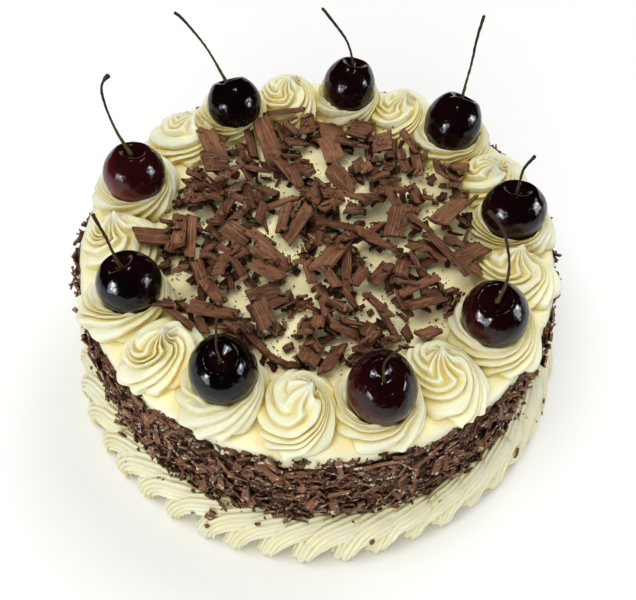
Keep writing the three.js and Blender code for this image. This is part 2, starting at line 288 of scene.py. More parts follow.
def made_mesh(bm, name):
    """A new mesh of what has been modelled, which is then let go."""
    mesh = bpy.data.meshes.new(name)
    bm.to_mesh(mesh)
    bm.free()
    return mesh


def ball_mesh(name, columns, rows, count=1):
    """A mesh of closed balls of even columns and rows, with each vertex's turn and drop from 0 to 1."""
    key = f"ball_{columns}_{rows}"
    ball = bpy.data.meshes.get(key)
    if ball is None:
        bm = bmesh.new()
        bmesh.ops.create_uvsphere(bm, u_segments=columns, v_segments=rows, radius=1.0)
        ball = made_mesh(bm, key)
    bm = bmesh.new()
    for _ in range(count):
        bm.from_mesh(ball)
    mesh = made_mesh(bm, name)
    co = read_points(mesh)
    turn = np.arctan2(co[:, 1], co[:, 0]) / math.tau % 1.0
    drop = np.arccos(np.clip(co[:, 2], -1, 1)) / np.pi
    turn = np.round(turn * columns) % columns / columns
    drop = np.round(drop * rows) / rows
    return mesh, turn, drop


def ring_mesh(name, columns, section):
    """A closed ring round the cake with the given outline of (radius, height) corners."""
    rows = len(section)
    bm = bmesh.new()
    bmesh.ops.create_grid(bm, x_segments=columns, y_segments=rows, size=0.5)
    outline = np.array(list(section) + [section[0]], float)
    for v in bm.verts:
        column = round((v.co.x + 0.5) * columns) % columns
        out, rise = outline[round((v.co.y + 0.5) * rows)]
        turn = math.tau * column / columns
        v.co = (out * math.sin(turn), out * math.cos(turn), rise)
    bmesh.ops.remove_doubles(bm, verts=bm.verts, dist=0.001)
    bmesh.ops.recalc_face_normals(bm, faces=bm.faces)
    return made_mesh(bm, name)


def read_points(mesh):
    """A mesh's vertices as rows of x, y and z."""
    co = np.empty(len(mesh.vertices) * 3, np.float32)
    mesh.vertices.foreach_get("co", co)
    return co.reshape(-1, 3).astype(float)


def set_points(mesh, points):
    """Moves a mesh's vertices to points in millimetres."""
    mesh.vertices.foreach_set("co", (points * MM).astype(np.float32).ravel())
    mesh.update()


def set_values(mesh, name, values):
    """Keeps a number or a place for each vertex, for the material to read."""
    values = np.asarray(values, np.float32)
    if values.ndim == 1:
        mesh.attributes.new(name, "FLOAT", "POINT").data.foreach_set("value", values)
    else:
        mesh.attributes.new(name, "FLOAT_VECTOR", "POINT").data.foreach_set("vector", values.ravel())


def face_outwards(mesh):
    bm = bmesh.new()
    bm.from_mesh(mesh)
    bmesh.ops.recalc_face_normals(bm, faces=bm.faces)
    bm.to_mesh(mesh)
    bm.free()


def place_piece(name, mesh, material, nodes, smooth=True):
    """Puts a finished mesh into the scene, as a piece that stands for the given nodes."""
    mesh.materials.append(material)
    mesh.polygons.foreach_set("use_smooth", [smooth] * len(mesh.polygons))
    mesh.update()
    piece = bpy.data.objects.new(name, mesh)
    bpy.context.scene.collection.objects.link(piece)
    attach(piece, "root")
    if nodes:
        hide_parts(*nodes)
    return piece


def joined(name, shapes, places):
    """One mesh of many copies of shapes. A place is (shape number, 3 by 3 matrix, position, tone)."""
    chance = np.random.default_rng(len(places))
    points, corners, grain, tone = [], [], [], []
    start = 0
    for number, matrix, position, lightness in places:
        shape, faces = shapes[number]
        points.append(shape @ matrix.T + position)
        corners.append(faces + start)
        start += len(shape)
        size = np.linalg.norm(matrix, axis=0)
        grain.append(shape * size + chance.uniform(-900, 900, 3))
        tone.append(np.full(len(shape), lightness))
    corners = np.concatenate(corners)
    mesh = bpy.data.meshes.new(name)
    mesh.vertices.add(start)
    mesh.loops.add(corners.size)
    mesh.loops.foreach_set("vertex_index", corners.ravel().astype(np.int32))
    mesh.polygons.add(len(corners))
    mesh.polygons.foreach_set("loop_start", np.arange(0, corners.size, 3, dtype=np.int32))
    set_points(mesh, np.concatenate(points))
    mesh.update(calc_edges=True)
    mesh.validate()
    set_values(mesh, "grain", np.concatenate(grain))
    set_values(mesh, "tone", np.concatenate(tone))
    return mesh


# ---- Finishes


class Value:
    """A shader socket, so that sums on it can be written as ordinary maths."""

    def __init__(self, finish, socket):
        self.finish = finish
        self.socket = socket

    def worked_out(self, operation, other):
        return self.finish.node("ShaderNodeMath", {"operation": operation}, {0: self, 1: other})

    def __add__(self, other):
        return self.worked_out("ADD", other)

    __radd__ = __add__

    def __mul__(self, other):
        return self.worked_out("MULTIPLY", other)

    __rmul__ = __mul__


class Finish:
    """A material being made: a principled shader and the nodes that feed it."""

    def __init__(self, name):
        self.material = bpy.data.materials.new(name)
        self.material.use_nodes = True
        self.tree = self.material.node_tree
        self.tree.nodes.clear()
        self.shader = self.tree.nodes.new("ShaderNodeBsdfPrincipled")
        output = self.tree.nodes.new("ShaderNodeOutputMaterial")
        self.tree.links.new(self.shader.outputs["BSDF"], output.inputs["Surface"])

    def feed(self, socket, value):
        if isinstance(value, Value):
            self.tree.links.new(value.socket, socket)
        else:
            socket.default_value = value

    def node(self, kind, settings=None, inputs=None, output=0):
        """Adds a node, with its settings first and then its inputs, and gives one of its outputs."""
        made = self.tree.nodes.new(kind)
        for key, value in (settings or {}).items():
            setattr(made, key, value)
        for key, value in (inputs or {}).items():
            self.feed(made.inputs[key], value)
        return Value(self, made.outputs[output])

    def place(self):
        return self.node("ShaderNodeTexCoord", output="Object")

    def kept(self, name, output="Fac"):
        return self.node("ShaderNodeAttribute", {"attribute_name": name}, output=output)

    def noise(self, place, scale, detail=2.0, roughness=0.5):
        inputs = {"Vector": place, "Scale": scale, "Detail": detail, "Roughness": roughness}
        return self.node("ShaderNodeTexNoise", None, inputs, "Fac")

    def openness(self, reach):
        """1 where the surface is open and less where something within the reach closes it in."""
        return self.node("ShaderNodeAmbientOcclusion", {"samples": 6}, {"Distance": reach}, "AO")

    def stretched(self, place, factors):
        return self.node("ShaderNodeVectorMath", {"operation": "MULTIPLY"}, {0: place, 1: factors})

    def between(self, value, low, high):
        """0 below low and 1 above high."""
        inputs = {"Value": value, "From Min": low, "From Max": high}
        return self.node("ShaderNodeMapRange", {"interpolation_type": "SMOOTHSTEP"}, inputs)

    def mix(self, factor, first, second, blend="MIX"):
        first = first if isinstance(first, Value) else (*first, 1.0)
        second = second if isinstance(second, Value) else (*second, 1.0)
        settings = {"data_type": "RGBA", "blend_type": blend}
        return self.node("ShaderNodeMix", settings, {0: factor, 6: first, 7: second}, 2)

    def bump(self, height, depth, below=None):
        """Bumps of the given depth in metres."""
        inputs = {"Height": height, "Distance": depth, "Strength": 1.0}
        if below is not None:
            inputs["Normal"] = below
        return self.node("ShaderNodeBump", None, inputs)

    def set(self, **inputs):
        """Sets the shader's sockets, named with _ for a space."""
        for key, value in inputs.items():
            self.feed(self.shader.inputs[key.replace("_", " ")], value)


# Of the weights, the first sets the painted shade in piped grooves and the second the painted tint in
# hollows; glow is the cream's translucence, and middle is painted light on the coat among the flakes.
def cream_finish(name, main, warm, painted_hollow_tint, piped, painted_groove_shade=0.22, deep=0.85, glow=0.3, middle=None):
    """Whipped cream: soft and slightly translucent, with painted shade in the grooves and hollows of
    piped cream, painted warm bounce light in the coat's hollows, and painted light on the coat among the
    flakes.
    """
    finish = Finish(name)
    place = finish.place()
    cloud = finish.noise(place, 70, 3)
    pores = finish.noise(place, 1700, 3, 0.6)
    colour = finish.mix(finish.between(cloud, 0.35, 0.7), main, warm)
    if piped:
        grain = finish.kept("grain", "Vector")
        streak = finish.noise(finish.stretched(grain, (1.0, 1.0, 0.12)), 1.6, 3, 0.6)
        groove = finish.kept("groove")
        # Painted shade: piped cream is darkened and yellowed where the groove value is high, in grooves
        # and on undersides.
        colour = finish.mix(groove * painted_groove_shade, colour, painted_hollow_tint)
        normal = finish.bump(streak, 0.00022)
    else:
        streak = finish.noise(finish.stretched(place, (1.0, 1.0, 0.25)), 220, 3, 0.55)
        normal = finish.bump(streak, 0.0004)
    normal = finish.bump(pores, 0.00007, normal)
    # A painted tint where other surfaces close this one in: painted shade on piped cream, painted warm
    # bounce light on the coat.
    hollow = finish.between(finish.openness(0.011 if piped else 0.02), 0.92, 0.2 if piped else 0.5)
    colour = finish.mix(hollow * deep, colour, painted_hollow_tint)
    # Painted light: the coat within about 72 mm of the middle, among the flakes, is painted brighter and
    # warmer.
    if middle:
        level = finish.stretched(place, (1, 1, 0))
        out = finish.node("ShaderNodeVectorMath", {"operation": "LENGTH"}, {0: level}, "Value")
        colour = finish.mix(finish.between(out, 0.076, 0.068) * 0.9, colour, middle)
    finish.set(
        Base_Color=colour,
        Roughness=finish.between(pores, 0.2, 0.8) * 0.12 + 0.4,
        Normal=normal,
        Subsurface_Weight=glow,
        Subsurface_Scale=0.003,
        Subsurface_Radius=(1.0, 0.75, 0.35),
        IOR=1.42,
    )
    return finish.material


def chocolate_finish(name, colours, smeared=0.0):
    """Broken chocolate: dull, scored lengthwise, each flake of its own tone, some smeared with cream,
    with painted shade where flakes close each other in.
    """
    finish = Finish(name)
    grain = finish.kept("grain", "Vector")
    tone = finish.kept("tone")
    scores = finish.noise(finish.stretched(grain, (0.05, 1.0, 1.0)), 1.5, 4, 0.7)
    chips = finish.noise(grain, 1.1, 4, 0.7)
    bloom = finish.noise(grain, 0.22, 2)
    colour = finish.mix(tone, colours.chocolate_dark, colours.chocolate)
    colour = finish.mix(finish.between(scores, 0.5, 0.62) * 0.6, colour, colours.chocolate_light)
    colour = finish.mix(finish.between(scores, 0.45, 0.36) * 0.65, colour, colours.chocolate_dark)
    colour = finish.mix(finish.between(bloom, 0.5, 0.8) * 0.35, colour, colours.chocolate_light)
    colour = finish.mix(finish.between(chips, 0.66, 0.8) * 0.1, colour, colours.chocolate_dark)
    if smeared > 0:
        smear = finish.noise(finish.stretched(finish.place(), (1.0, 1.0, 2.2)), 330, 3, 0.6)
        colour = finish.mix(finish.between(smear, 0.59, 0.65) * smeared, colour, colours.cream_warm)
    # Painted shade: chocolate closed in by other flakes is darkened towards the shadowed colour.
    hollow = finish.between(finish.openness(0.007), 0.92, 0.4)
    colour = finish.mix(hollow * 0.95, colour, colours.chocolate_deep)
    normal = finish.bump(scores, 0.0004)
    normal = finish.bump(chips, 0.00008, normal)
    finish.set(
        Base_Color=colour,
        Roughness=finish.between(bloom, 0.3, 0.7) * 0.2 + 0.45,
        Normal=normal,
        Specular_IOR_Level=0.1,
    )
    return finish.material


def cherry_finish(name, colours):
    """A dark glossy cherry skin, redder in soft patches and, as painted light, low on its left side, with
    fine pores.
    """
    finish = Finish(name)
    place = finish.place()
    patch = finish.noise(place, 42, 2)
    pores = finish.noise(place, 900, 2)
    swell = finish.noise(place, 160, 2)
    # Painted light: this red mask is mostly the low left side of each cherry.
    red_and_painted_light = finish.kept("red_and_painted_light")
    colour = finish.mix(finish.between(patch, 0.42, 0.72), colours.cherry_dark, colours.cherry)
    colour = finish.mix(red_and_painted_light, colour, colours.cherry_red_and_painted_light)
    normal = finish.bump(swell, 0.0006)
    normal = finish.bump(pores, 0.00004, normal)
    finish.set(
        Base_Color=colour,
        Roughness=finish.between(pores, 0.3, 0.7) * 0.05 + 0.11,
        Normal=normal,
        IOR=1.36,
    )
    return finish.material


def stem_finish(name, colours):
    """A cherry stem: olive near the fruit, dark and dry towards its end."""
    finish = Finish(name)
    along = finish.kept("along")
    grain = finish.kept("grain", "Vector")
    fibre = finish.noise(finish.stretched(grain, (1.0, 1.0, 0.15)), 3.0, 3)
    patch = finish.noise(finish.place(), 260, 2)
    dry = finish.between(along + patch * 0.3, 0.15, 0.75)
    colour = finish.mix(dry, colours.stem_foot, colours.stem_end)
    colour = finish.mix(finish.between(fibre, 0.5, 0.8) * 0.3, colour, colours.stem_light)
    finish.set(
        Base_Color=colour,
        Roughness=finish.between(patch, 0.3, 0.7) * 0.15 + 0.6,
        Normal=finish.bump(fibre, 0.0002),
        Specular_IOR_Level=0.1,
    )
    return finish.material


# ---- Cream


def coat_mesh():
    """The smooth cream over the cake, with the soft waves that a palette knife leaves."""
    bm = bmesh.new()
    rings = [(0.0, CAKE_HEIGHT)]
    rings += [(r, CAKE_HEIGHT) for r in np.linspace(4, CAKE_RADIUS - SHOULDER - 1, 30)]
    bend = 8
    for i in range(bend + 1):
        turn = math.pi / 2 * i / bend
        out = CAKE_RADIUS - SHOULDER + SHOULDER * math.sin(turn)
        rings.append((out, CAKE_HEIGHT - SHOULDER + SHOULDER * math.cos(turn)))
    rings += [(CAKE_RADIUS, z) for z in np.linspace(CAKE_HEIGHT - SHOULDER - 2, 0, 24)]
    rings.append((0.0, 0.0))
    chain = [bm.verts.new((r, 0.0, z)) for r, z in rings]
    edges = [bm.edges.new(pair) for pair in zip(chain, chain[1:])]
    bmesh.ops.spin(
        bm,
        geom=chain + edges,
        axis=(0, 0, 1),
        cent=(0, 0, 0),
        angle=math.tau,
        steps=COAT_COLUMNS,
        use_merge=True,
    )
    bmesh.ops.remove_doubles(bm, verts=bm.verts, dist=0.01)
    bmesh.ops.recalc_face_normals(bm, faces=bm.faces)
    mesh = made_mesh(bm, "cream_coat")
    co = read_points(mesh)
    out = np.hypot(co[:, 0], co[:, 1])
    wave = 0.35 * ripple(co, 26, 3) + 0.15 * ripple(co * (1, 1, 0.4), 9, 4)
    up = step(co[:, 2], CAKE_HEIGHT - 2, CAKE_HEIGHT)
    side = step(out, CAKE_RADIUS - 3, CAKE_RADIUS) * step(co[:, 2], 0, 5)
    co[:, 2] += (wave - 0.3) * up
    co[:, :2] *= (1 + np.minimum(wave - 0.2, 0.3) * side / np.maximum(out, 1))[:, None]
    set_points(mesh, co)
    return mesh


def lobe(phase, crest, power):
    """The rounded rise between two grooves: 0 in each groove and 1 on the crest."""
    slope = np.where(phase < crest, (crest - phase) / crest, (phase - crest) / (1 - crest))
    return 0.6 * (1 - slope**power) + 0.2 + 0.2 * np.cos(np.pi * slope)


def ridged(turn, ridges, seed):
    """Uneven ridges round a piped shape: their height, and the same with each ridge's fine creases."""
    chance = np.random.default_rng(seed)
    wander = 0.28 * np.sin(math.tau * (2 * turn + chance.random()))
    wander += 0.16 * np.sin(math.tau * (3 * turn + chance.random()))
    along = turn * ridges + wander
    number = np.floor(along).astype(int) % ridges
    phase = along % 1.0
    crest = chance.uniform(0.46, 0.66, ridges)[number]
    power = chance.uniform(1.5, 2.8, ridges)[number]
    height = lobe(phase, crest, power) * chance.uniform(0.82, 1.15, ridges)[number]
    line = chance.uniform(0.22, 0.42, ridges)[number]
    crease = near(phase, line, 0.07) * chance.uniform(0, 0.16, ridges)[number]
    line = chance.uniform(0.64, 0.85, ridges)[number]
    crease += near(phase, line, 0.06) * chance.uniform(0, 0.14, ridges)[number]
    return height, height - crease


def half_room(azimuth, neighbour, part):
    """How far a rosette reaches to its neighbour on the ring, as a part of half the way between them."""
    apart = abs((neighbour - azimuth + 540) % 360 - 180)
    return RING_RADIUS * math.sin(math.radians(apart / 2)) * part + OVERLAP


def outward_reach(more, flat_y):
    """How far a rosette reaches in or out from the ring, with that much more on its outer side."""
    return ROSETTE_REACH + np.where(flat_y > 0, more, 0)


def stand_rosette(mesh, x, y, z, azimuth, groove, grain):
    """Turns a rosette from its own frame (x clockwise, y outwards, z up) to its place on the ring."""
    turn = math.radians(azimuth)
    place = np.empty((len(x), 3))
    place[:, 0] = (RING_RADIUS + y) * math.sin(turn) + x * math.cos(turn)
    place[:, 1] = (RING_RADIUS + y) * math.cos(turn) - x * math.sin(turn)
    place[:, 2] = np.maximum(CAKE_HEIGHT + z, CAKE_HEIGHT - SUNK)
    set_points(mesh, place)
    set_values(mesh, "groove", np.clip(groove, 0, 1))
    set_values(mesh, "grain", grain)


def plain_rosette_mesh(name, number, height, depth):
    """A rosette whose ridges leave the peak nearly straight, kink, and curl clockwise round the rim."""
    azimuth, lean, drag, turn_total, turn_extra, turn_side, ridges = PLAIN_ROSETTES[number]
    after = min(half_room(azimuth, CHERRIES[(number + 1) % PAIRS][0], PLAIN_PART), WIDEST)
    before = min(half_room(azimuth, CHERRIES[number][0], PLAIN_PART), WIDEST)
    mesh, turn, drop = ball_mesh(name, *ROSETTE_GRID)
    chance = np.random.default_rng(40 + number)
    rim = 0.86
    stops = (0, 0.03, 0.09, 0.18, 0.30, 0.42, 0.54, 0.64, 0.73, 0.81, rim, 0.9, 1)
    shares = (0, 0.04, 0.11, 0.22, 0.37, 0.52, 0.67, 0.80, 0.91, 0.99, 1.0, 0.92, 0)
    rises = (1, 0.97, 0.90, 0.81, 0.72, 0.64, 0.54, 0.42, 0.29, 0.14, 0.0, -0.06, -0.06)
    tilts = (0.1, 0.3, 0.6, 0.6, 0.5, 0.5, 0.7, 0.9, 1.1, 1.35, 1.5, 1.57, 1.57)
    share, rise, tilt = [curve(drop, stops, values) for values in (shares, rises, tilts)]
    under = step(drop, 0.84, 0.9)
    own = turn * math.tau
    total = turn_total + turn_extra * np.cos(own - math.radians(turn_side))
    bend = 0.42 + 0.04 * np.sin(own + chance.uniform(0, 6))
    outer = curve(
        np.clip((share - bend) / (1 - bend), 0, 1),
        (0, 0.12, 0.3, 0.5, 0.7, 0.87, 1),
        (1, 0.92, 0.75, 0.53, 0.32, 0.14, 0),
    )
    inner = curve(np.clip(share / bend, 0, 1), (0, 0.35, 0.7, 0.9, 1), (34, 27, 12, 3, 0))
    winding = np.where(drop < rim, total * outer - inner, 0)
    heading = own + np.radians(winding)
    high, fine = ridged(turn, ridges, 70 + number)
    strength = step(share, 0.03, 0.30) * (1.25 - 0.5 * step(share, 0.4, 0.75)) * (1 - 0.8 * under)
    strength = strength * (1 + 0.2 * step(share, 0.4, 0.7) * np.sin(own + chance.uniform(0, 6)))
    lift = depth / MM * strength * (fine - 0.6)
    flat_x = np.cos(heading)
    flat_y = np.sin(heading)
    width = np.where(flat_x > 0, after, before)
    push = lift * np.sin(tilt) + 1.1 * (high - 0.5) * step(share, 0.78, 0.97)
    x = flat_x * (width * share + push)
    y = flat_y * (outward_reach(PLAIN_REACH[number], flat_y) * share + push)
    z = height / MM * rise + lift * np.cos(tilt)
    point = np.stack([x, y, z], 1)
    tip = near(share, 0, 0.10)
    pull = near(share, 0, 0.24)
    sway = rise * rise
    x = x + lean[0] * sway + drag[0] * pull
    y = y + lean[1] * sway + drag[1] * pull
    wave = ripple(point, 13, 100 + number) * strength
    small = ripple(point, 2.4, 120 + number) * (1 - under)
    x = x + 0.4 * wave + 0.06 * small
    y = y + 0.4 * ripple(point, 13, 200 + number) * strength + 0.06 * small
    z = z + 1.2 * tip + 0.3 * ripple(point, 9, 220 + number) * (1 - under) + 0.05 * small
    # Painted shade: the groove value darkens the cream in the grooves between ridges and on the skirt low
    # near the rim.
    groove = (1 - high) ** 2 * np.minimum(strength, 1) + 0.2 * step(drop, 0.75, rim)
    grain = np.stack([ridges * np.cos(own) * 4, ridges * np.sin(own) * 4, drop * 40], 1)
    stand_rosette(mesh, x, y, z, azimuth, groove, grain)
    return mesh


def cherry_rosette_mesh(name, number, depth):
    """A rosette pressed down by its cherry: a ridged skirt round a bowl that follows the fruit."""
    azimuth, distance, middle, width, height = CHERRIES[number][:5]
    after = half_room(azimuth, PLAIN_ROSETTES[number][0], SKIRT_PART)
    before = half_room(azimuth, PLAIN_ROSETTES[number - 1][0], SKIRT_PART)
    mesh, turn, drop = ball_mesh(name, *ROSETTE_GRID)
    chance = np.random.default_rng(60 + number)
    # The bowl's part of the drop, how far round the fruit it goes, and where the skirt turns under.
    bowl, seat, rim = 0.25, 0.93, 0.8
    inside = drop < bowl
    own = turn * math.tau
    top = middle - CAKE_HEIGHT
    hollow = max(width, height) / 2 + 0.2
    down = np.clip(drop / bowl, 0, 1) * seat
    skirt = np.clip((drop - bowl) / (1 - bowl), 0, 1)
    stops = (0, 0.05, 0.12, 0.25, 0.42, 0.6, 0.72, rim, 0.86, 1)
    shares = (0, 0.10, 0.22, 0.42, 0.66, 0.87, 0.98, 1.0, 0.9, 0)
    falls = (1, 1.03, 1.0, 0.90, 0.70, 0.43, 0.20, 0.02, -0.1, -0.1)
    tilts = (0.3, 0.4, 0.5, 0.7, 0.9, 1.15, 1.35, 1.5, 1.57, 1.57)
    share, fall, tilt = [curve(skirt, stops, values) for values in (shares, falls, tilts)]
    closing = skirt > rim
    total = chance.uniform(105, 135) + 25 * np.cos(own - chance.uniform(0, 6))
    winding = total * curve(share, (0, 0.2, 0.45, 0.7, 0.88, 1), (1, 0.83, 0.59, 0.33, 0.14, 0))
    winding = np.where(inside, total, np.where(closing, 0.0, winding))
    heading = own + np.radians(winding)
    flat_x = np.cos(heading)
    flat_y = np.sin(heading)
    side = np.where(flat_x > 0, after, before)
    high, fine = ridged(turn, 10, 90 + number)
    strength = np.where(inside, 0.0, step(skirt, 0.0, 0.16) * (1 - 0.8 * step(skirt, 0.78, 0.86)))
    strength = strength * (0.72 + 0.28 * np.sin(own + chance.uniform(0, 6)) + 0.12 * np.sin(2 * own))
    lift = depth / MM * strength * (fine - 0.55)
    push = lift * np.sin(tilt) + 1.1 * (high - 0.5) * step(share, 0.78, 0.97) * (skirt < rim)
    offset = distance - RING_RADIUS
    blend = np.where(closing, 1.0, np.clip(share, 0, 1.1))
    shrink = np.where(closing, np.clip(share, 0, 1), 1.0)
    edge = hollow * seat * (1 - blend)
    reach_x = (edge + side * blend) * shrink + push
    reach_y = (edge + outward_reach(CHERRY_REACH[number], flat_y) * blend) * shrink + push
    x = flat_x * np.where(inside, hollow * down, reach_x)
    y = flat_y * np.where(inside, hollow * down, reach_y)
    y = y + offset * np.where(inside, 1, (1 - blend) * shrink)
    outer = (top - hollow * 0.37) * fall + lift * np.cos(tilt)
    z = np.where(inside, top - hollow * np.sqrt(1 - down**2), outer)
    point = np.stack([x, y, z], 1)
    lip = near(drop, bowl, 0.035)
    loose = np.where(inside, 0.0, 1.0)
    small = ripple(point, 2.4, 320 + number) * loose
    x = x - flat_x * 0.25 * lip + 0.4 * ripple(point, 12, 340 + number) * strength + 0.06 * small
    y = y - flat_y * 0.25 * lip + 0.4 * ripple(point, 12, 360 + number) * strength + 0.06 * small
    z = z + lip * (0.6 * high + 0.5 * ripple(point, 8, 300 + number)) + 0.05 * small
    # Painted shade: the groove value darkens the cream in the skirt's grooves and low near its rim.
    groove = (1 - high) ** 2 * strength + 0.25 * step(skirt, 0.65, rim)
    grain = np.stack([52 * np.cos(own), 52 * np.sin(own), drop * 36], 1)
    stand_rosette(mesh, x, y, z, azimuth, groove, grain)
    return mesh


def rounding(way, length):
    """The part of the full girth that is left near a rounded end of that length."""
    return np.sqrt(1 - np.clip(1 - way / length, 0, 1) ** 2)


def border_mesh(name, strokes, first, last):
    """Part of the rope round the foot: strokes that rise, arch over and run on beside the next."""
    mesh, turn, drop = ball_mesh(name, *STROKE_GRID, last - first)
    number = first + np.arange(len(turn)) // (len(turn) // (last - first))
    chance = np.random.default_rng(7)
    place = np.arange(strokes) * 360 / strokes + chance.normal(0, 0.55, strokes)
    straight = near(place, *STRAIGHT_STROKES) + chance.normal(0, 0.15, strokes)
    toothed = near(place, *TOOTHED_STROKES) + chance.uniform(0, 0.12, strokes)
    straight, toothed = np.clip(straight, 0, 1), np.clip(toothed, 0, 1)
    over = (2.6 * straight + chance.uniform(-0.4, 1.2, strokes))[number]
    size = chance.uniform(0.92, 1.1, strokes)[number]
    long = chance.uniform(0.9, 1.14, strokes)[number]
    high = chance.normal(0, 0.5, strokes)[number]
    level = (1 - 0.75 * straight)[number]
    narrow = 1.5 * straight[number]
    place, toothed = place[number], toothed[number]
    stops = (0, 0.1, 0.25, 0.4, 0.6, 0.8, 1)

    def line(t):
        ahead = curve(t, stops, (0.9, 0.7, 0.1, -1.2, -4.2, -8.6, -13.0)) * long
        out = curve(t, stops, (110.8, 111.1, 110.5, 109.1, 107.1, 105.1, 103.2))
        out = out + over * step(t, 0.5, 0.95) - narrow * (1 - step(t, 0.3, 0.8))
        rise = curve(t, stops, (2.0, 4.0, 8.6, 13.2, 17.4, 19.8, 20.9))
        rise = rise - level * step(t, 0.55, 1) * 0.4 + high * step(t, 0.2, 0.6)
        azimuth = np.radians(place + ahead)
        return np.stack([out * np.sin(azimuth), out * np.cos(azimuth), rise], 1)

    middle = line(drop)
    ahead = unit(line(np.minimum(drop + 0.02, 1)) - line(np.maximum(drop - 0.02, 0)))
    lean = curve(drop, stops, (0.0, 0.1, 0.3, 0.55, 0.8, 0.95, 1.0))
    outward = unit(middle * (1, 1, 0))
    normal = outward * np.cos(lean)[:, None] + UP * np.sin(lean)[:, None]
    across = unit(np.cross(normal, ahead))
    normal = np.cross(ahead, across)
    cap = rounding(drop, 0.075) * rounding(1 - drop, 0.14)
    half = curve(drop, stops, (4.9, 5.1, 5.6, 6.2, 6.4, 6.2, 5.6)) * size * cap
    thick = curve(drop, stops, (3.6, 4.2, 5.1, 5.6, 5.1, 4.1, 3.3)) * size * cap
    ridges = 15
    shift = chance.random(strokes)[number]
    along = (turn * ridges + shift + 0.4 * drop) % ridges
    height = lobe(along % 1, 0.5, 2.2)
    broad = 0.5 + 0.5 * np.cos(np.pi * (along + shift * 9))
    swell = chance.uniform(0.8, 1.2, (strokes, ridges))[number, np.floor(along).astype(int)]
    strength = 0.12 + 0.88 * np.maximum(step(drop, 0.06, 0.45), toothed)
    strength = strength * (1 - 0.35 * step(drop, 0.4, 0.7))
    foot = 1 - step(drop, 0.02, 0.2)
    teeth = toothed * (0.3 * height - 0.1) + 0.26 * broad - 0.08
    raised = 1 - 0.3 * strength * (1 - height * swell) + foot * teeth
    ring = turn * math.tau
    point = middle + across * (half * raised * np.cos(ring))[:, None]
    point += normal * (thick * raised * np.sin(ring))[:, None]
    tooth = 2.0 * step(drop, 0.86, 1) - 0.9 * foot * toothed
    point += ahead * ((height - 0.5) * tooth * cap)[:, None]
    point += (0.25 * ripple(point, 11, 17) + 0.06 * ripple(point, 2.2, 18))[:, None] * normal
    point[:, 2] = np.maximum(point[:, 2], 0.15)
    set_points(mesh, point)
    # Painted shade: the groove value darkens the cream in the grooves and on each stroke's underside.
    groove = (1 - height) ** 2 * strength * 0.9 + 0.5 * step(-np.sin(ring), 0.1, 0.5)
    set_values(mesh, "groove", np.clip(groove, 0, 1))
    grain = np.stack([36 * np.cos(ring) + 90 * shift, 36 * np.sin(ring), drop * 38], 1)
    set_values(mesh, "grain", grain)
    face_outwards(mesh)
    return mesh


def border_core_mesh():
    """The cream behind the strokes, which closes the gaps between them."""
    section = ((101.2, 0.2), (106.6, 0.2), (106.8, 4.0), (106.4, 9.0))
    section += ((105.4, 14.0), (104.2, 18.4), (102.8, 21.0), (101.2, 22.0))
    mesh = ring_mesh("base_border_core", CORE_COLUMNS, section)
    co = read_points(mesh)
    azimuth = np.degrees(np.arctan2(co[:, 0], co[:, 1]))
    out = np.hypot(co[:, 0], co[:, 1])
    wave = 0.7 * np.sin(np.radians(azimuth * 92 + co[:, 2] * 40)) * step(out, 102, 106)
    wave += 0.5 * ripple(co * (1, 1, 4), 12, 37)
    co[:, :2] *= (1 + wave / out)[:, None]
    set_points(mesh, co)
    # Painted shade: the groove value darkens the core's lower part, behind the strokes.
    set_values(mesh, "groove", 0.8 - 0.7 * step(co[:, 2], 9, 17))
    set_values(mesh, "grain", co * 0.4)
    return mesh


# ---- Cherries


def lean_matrix(lean):
    """Turns the upright to the direction of a cherry's stem end."""
    end = Vector((lean[0], lean[1], 1)).normalized()
    return np.array(Vector((0, 0, 1)).rotation_difference(end).to_matrix())


def cherry_mesh(name, number):
    """A dark cherry: a dimple for its stem inside a rounded lip, and a seam that splits the lip."""
    azimuth, distance, middle, width, height, lean = CHERRIES[number][:6]
    mesh, turn, drop = ball_mesh(name, *CHERRY_GRID)
    spin = turn * math.tau
    down = drop * np.pi
    out = np.sin(down)
    seam = np.angle(np.exp(1j * (spin - math.radians(CHERRY_SEAMS[number]))))
    upper = drop < 0.5
    pit = np.where(upper, 1 - step(out, 0.06, 0.56), 0)
    lip = np.where(upper, near(out, 0.58, 0.15), 0)
    line = near(seam, 0, 0.30)
    fine = near(seam, 0, 0.07) * (drop < 0.85) * step(out, 0.1, 0.5)
    press = 1 - 0.010 * fine + 0.015 * np.cos(2 * seam) * lip
    x = width / 2 * out * np.cos(spin) * press
    y = height / 2 * out * np.sin(spin) * press
    depth = 4.6 + 0.5 * np.cos(2 * seam)
    z = height / 2 * np.cos(down) - depth * pit + 0.35 * lip - 0.9 * line * lip
    point = np.stack([x, y, z], 1)
    swell = 1 + 0.012 * ripple(point, 20, 520 + number) + 0.0015 * ripple(point, 5, 540 + number)
    point *= swell[:, None]
    turned = point @ lean_matrix(lean).T
    cx, cy = on_ring(azimuth, distance)
    set_points(mesh, turned + (cx, cy, middle))
    # Painted light: the skin is painted redder low on its left side; a little red stays all over, and the
    # dimple has a faint red.
    painted_lit_side = step(-turned[:, 0] * 0.6 - turned[:, 2] * 0.8, -8, 7)
    red_and_painted_light = CHERRY_RED_AND_PAINTED_LIGHT[number] * (0.13 + 0.87 * painted_lit_side) * (1 - pit)
    set_values(mesh, "red_and_painted_light", np.clip(red_and_painted_light + 0.05 * pit, 0, 1))
    return mesh


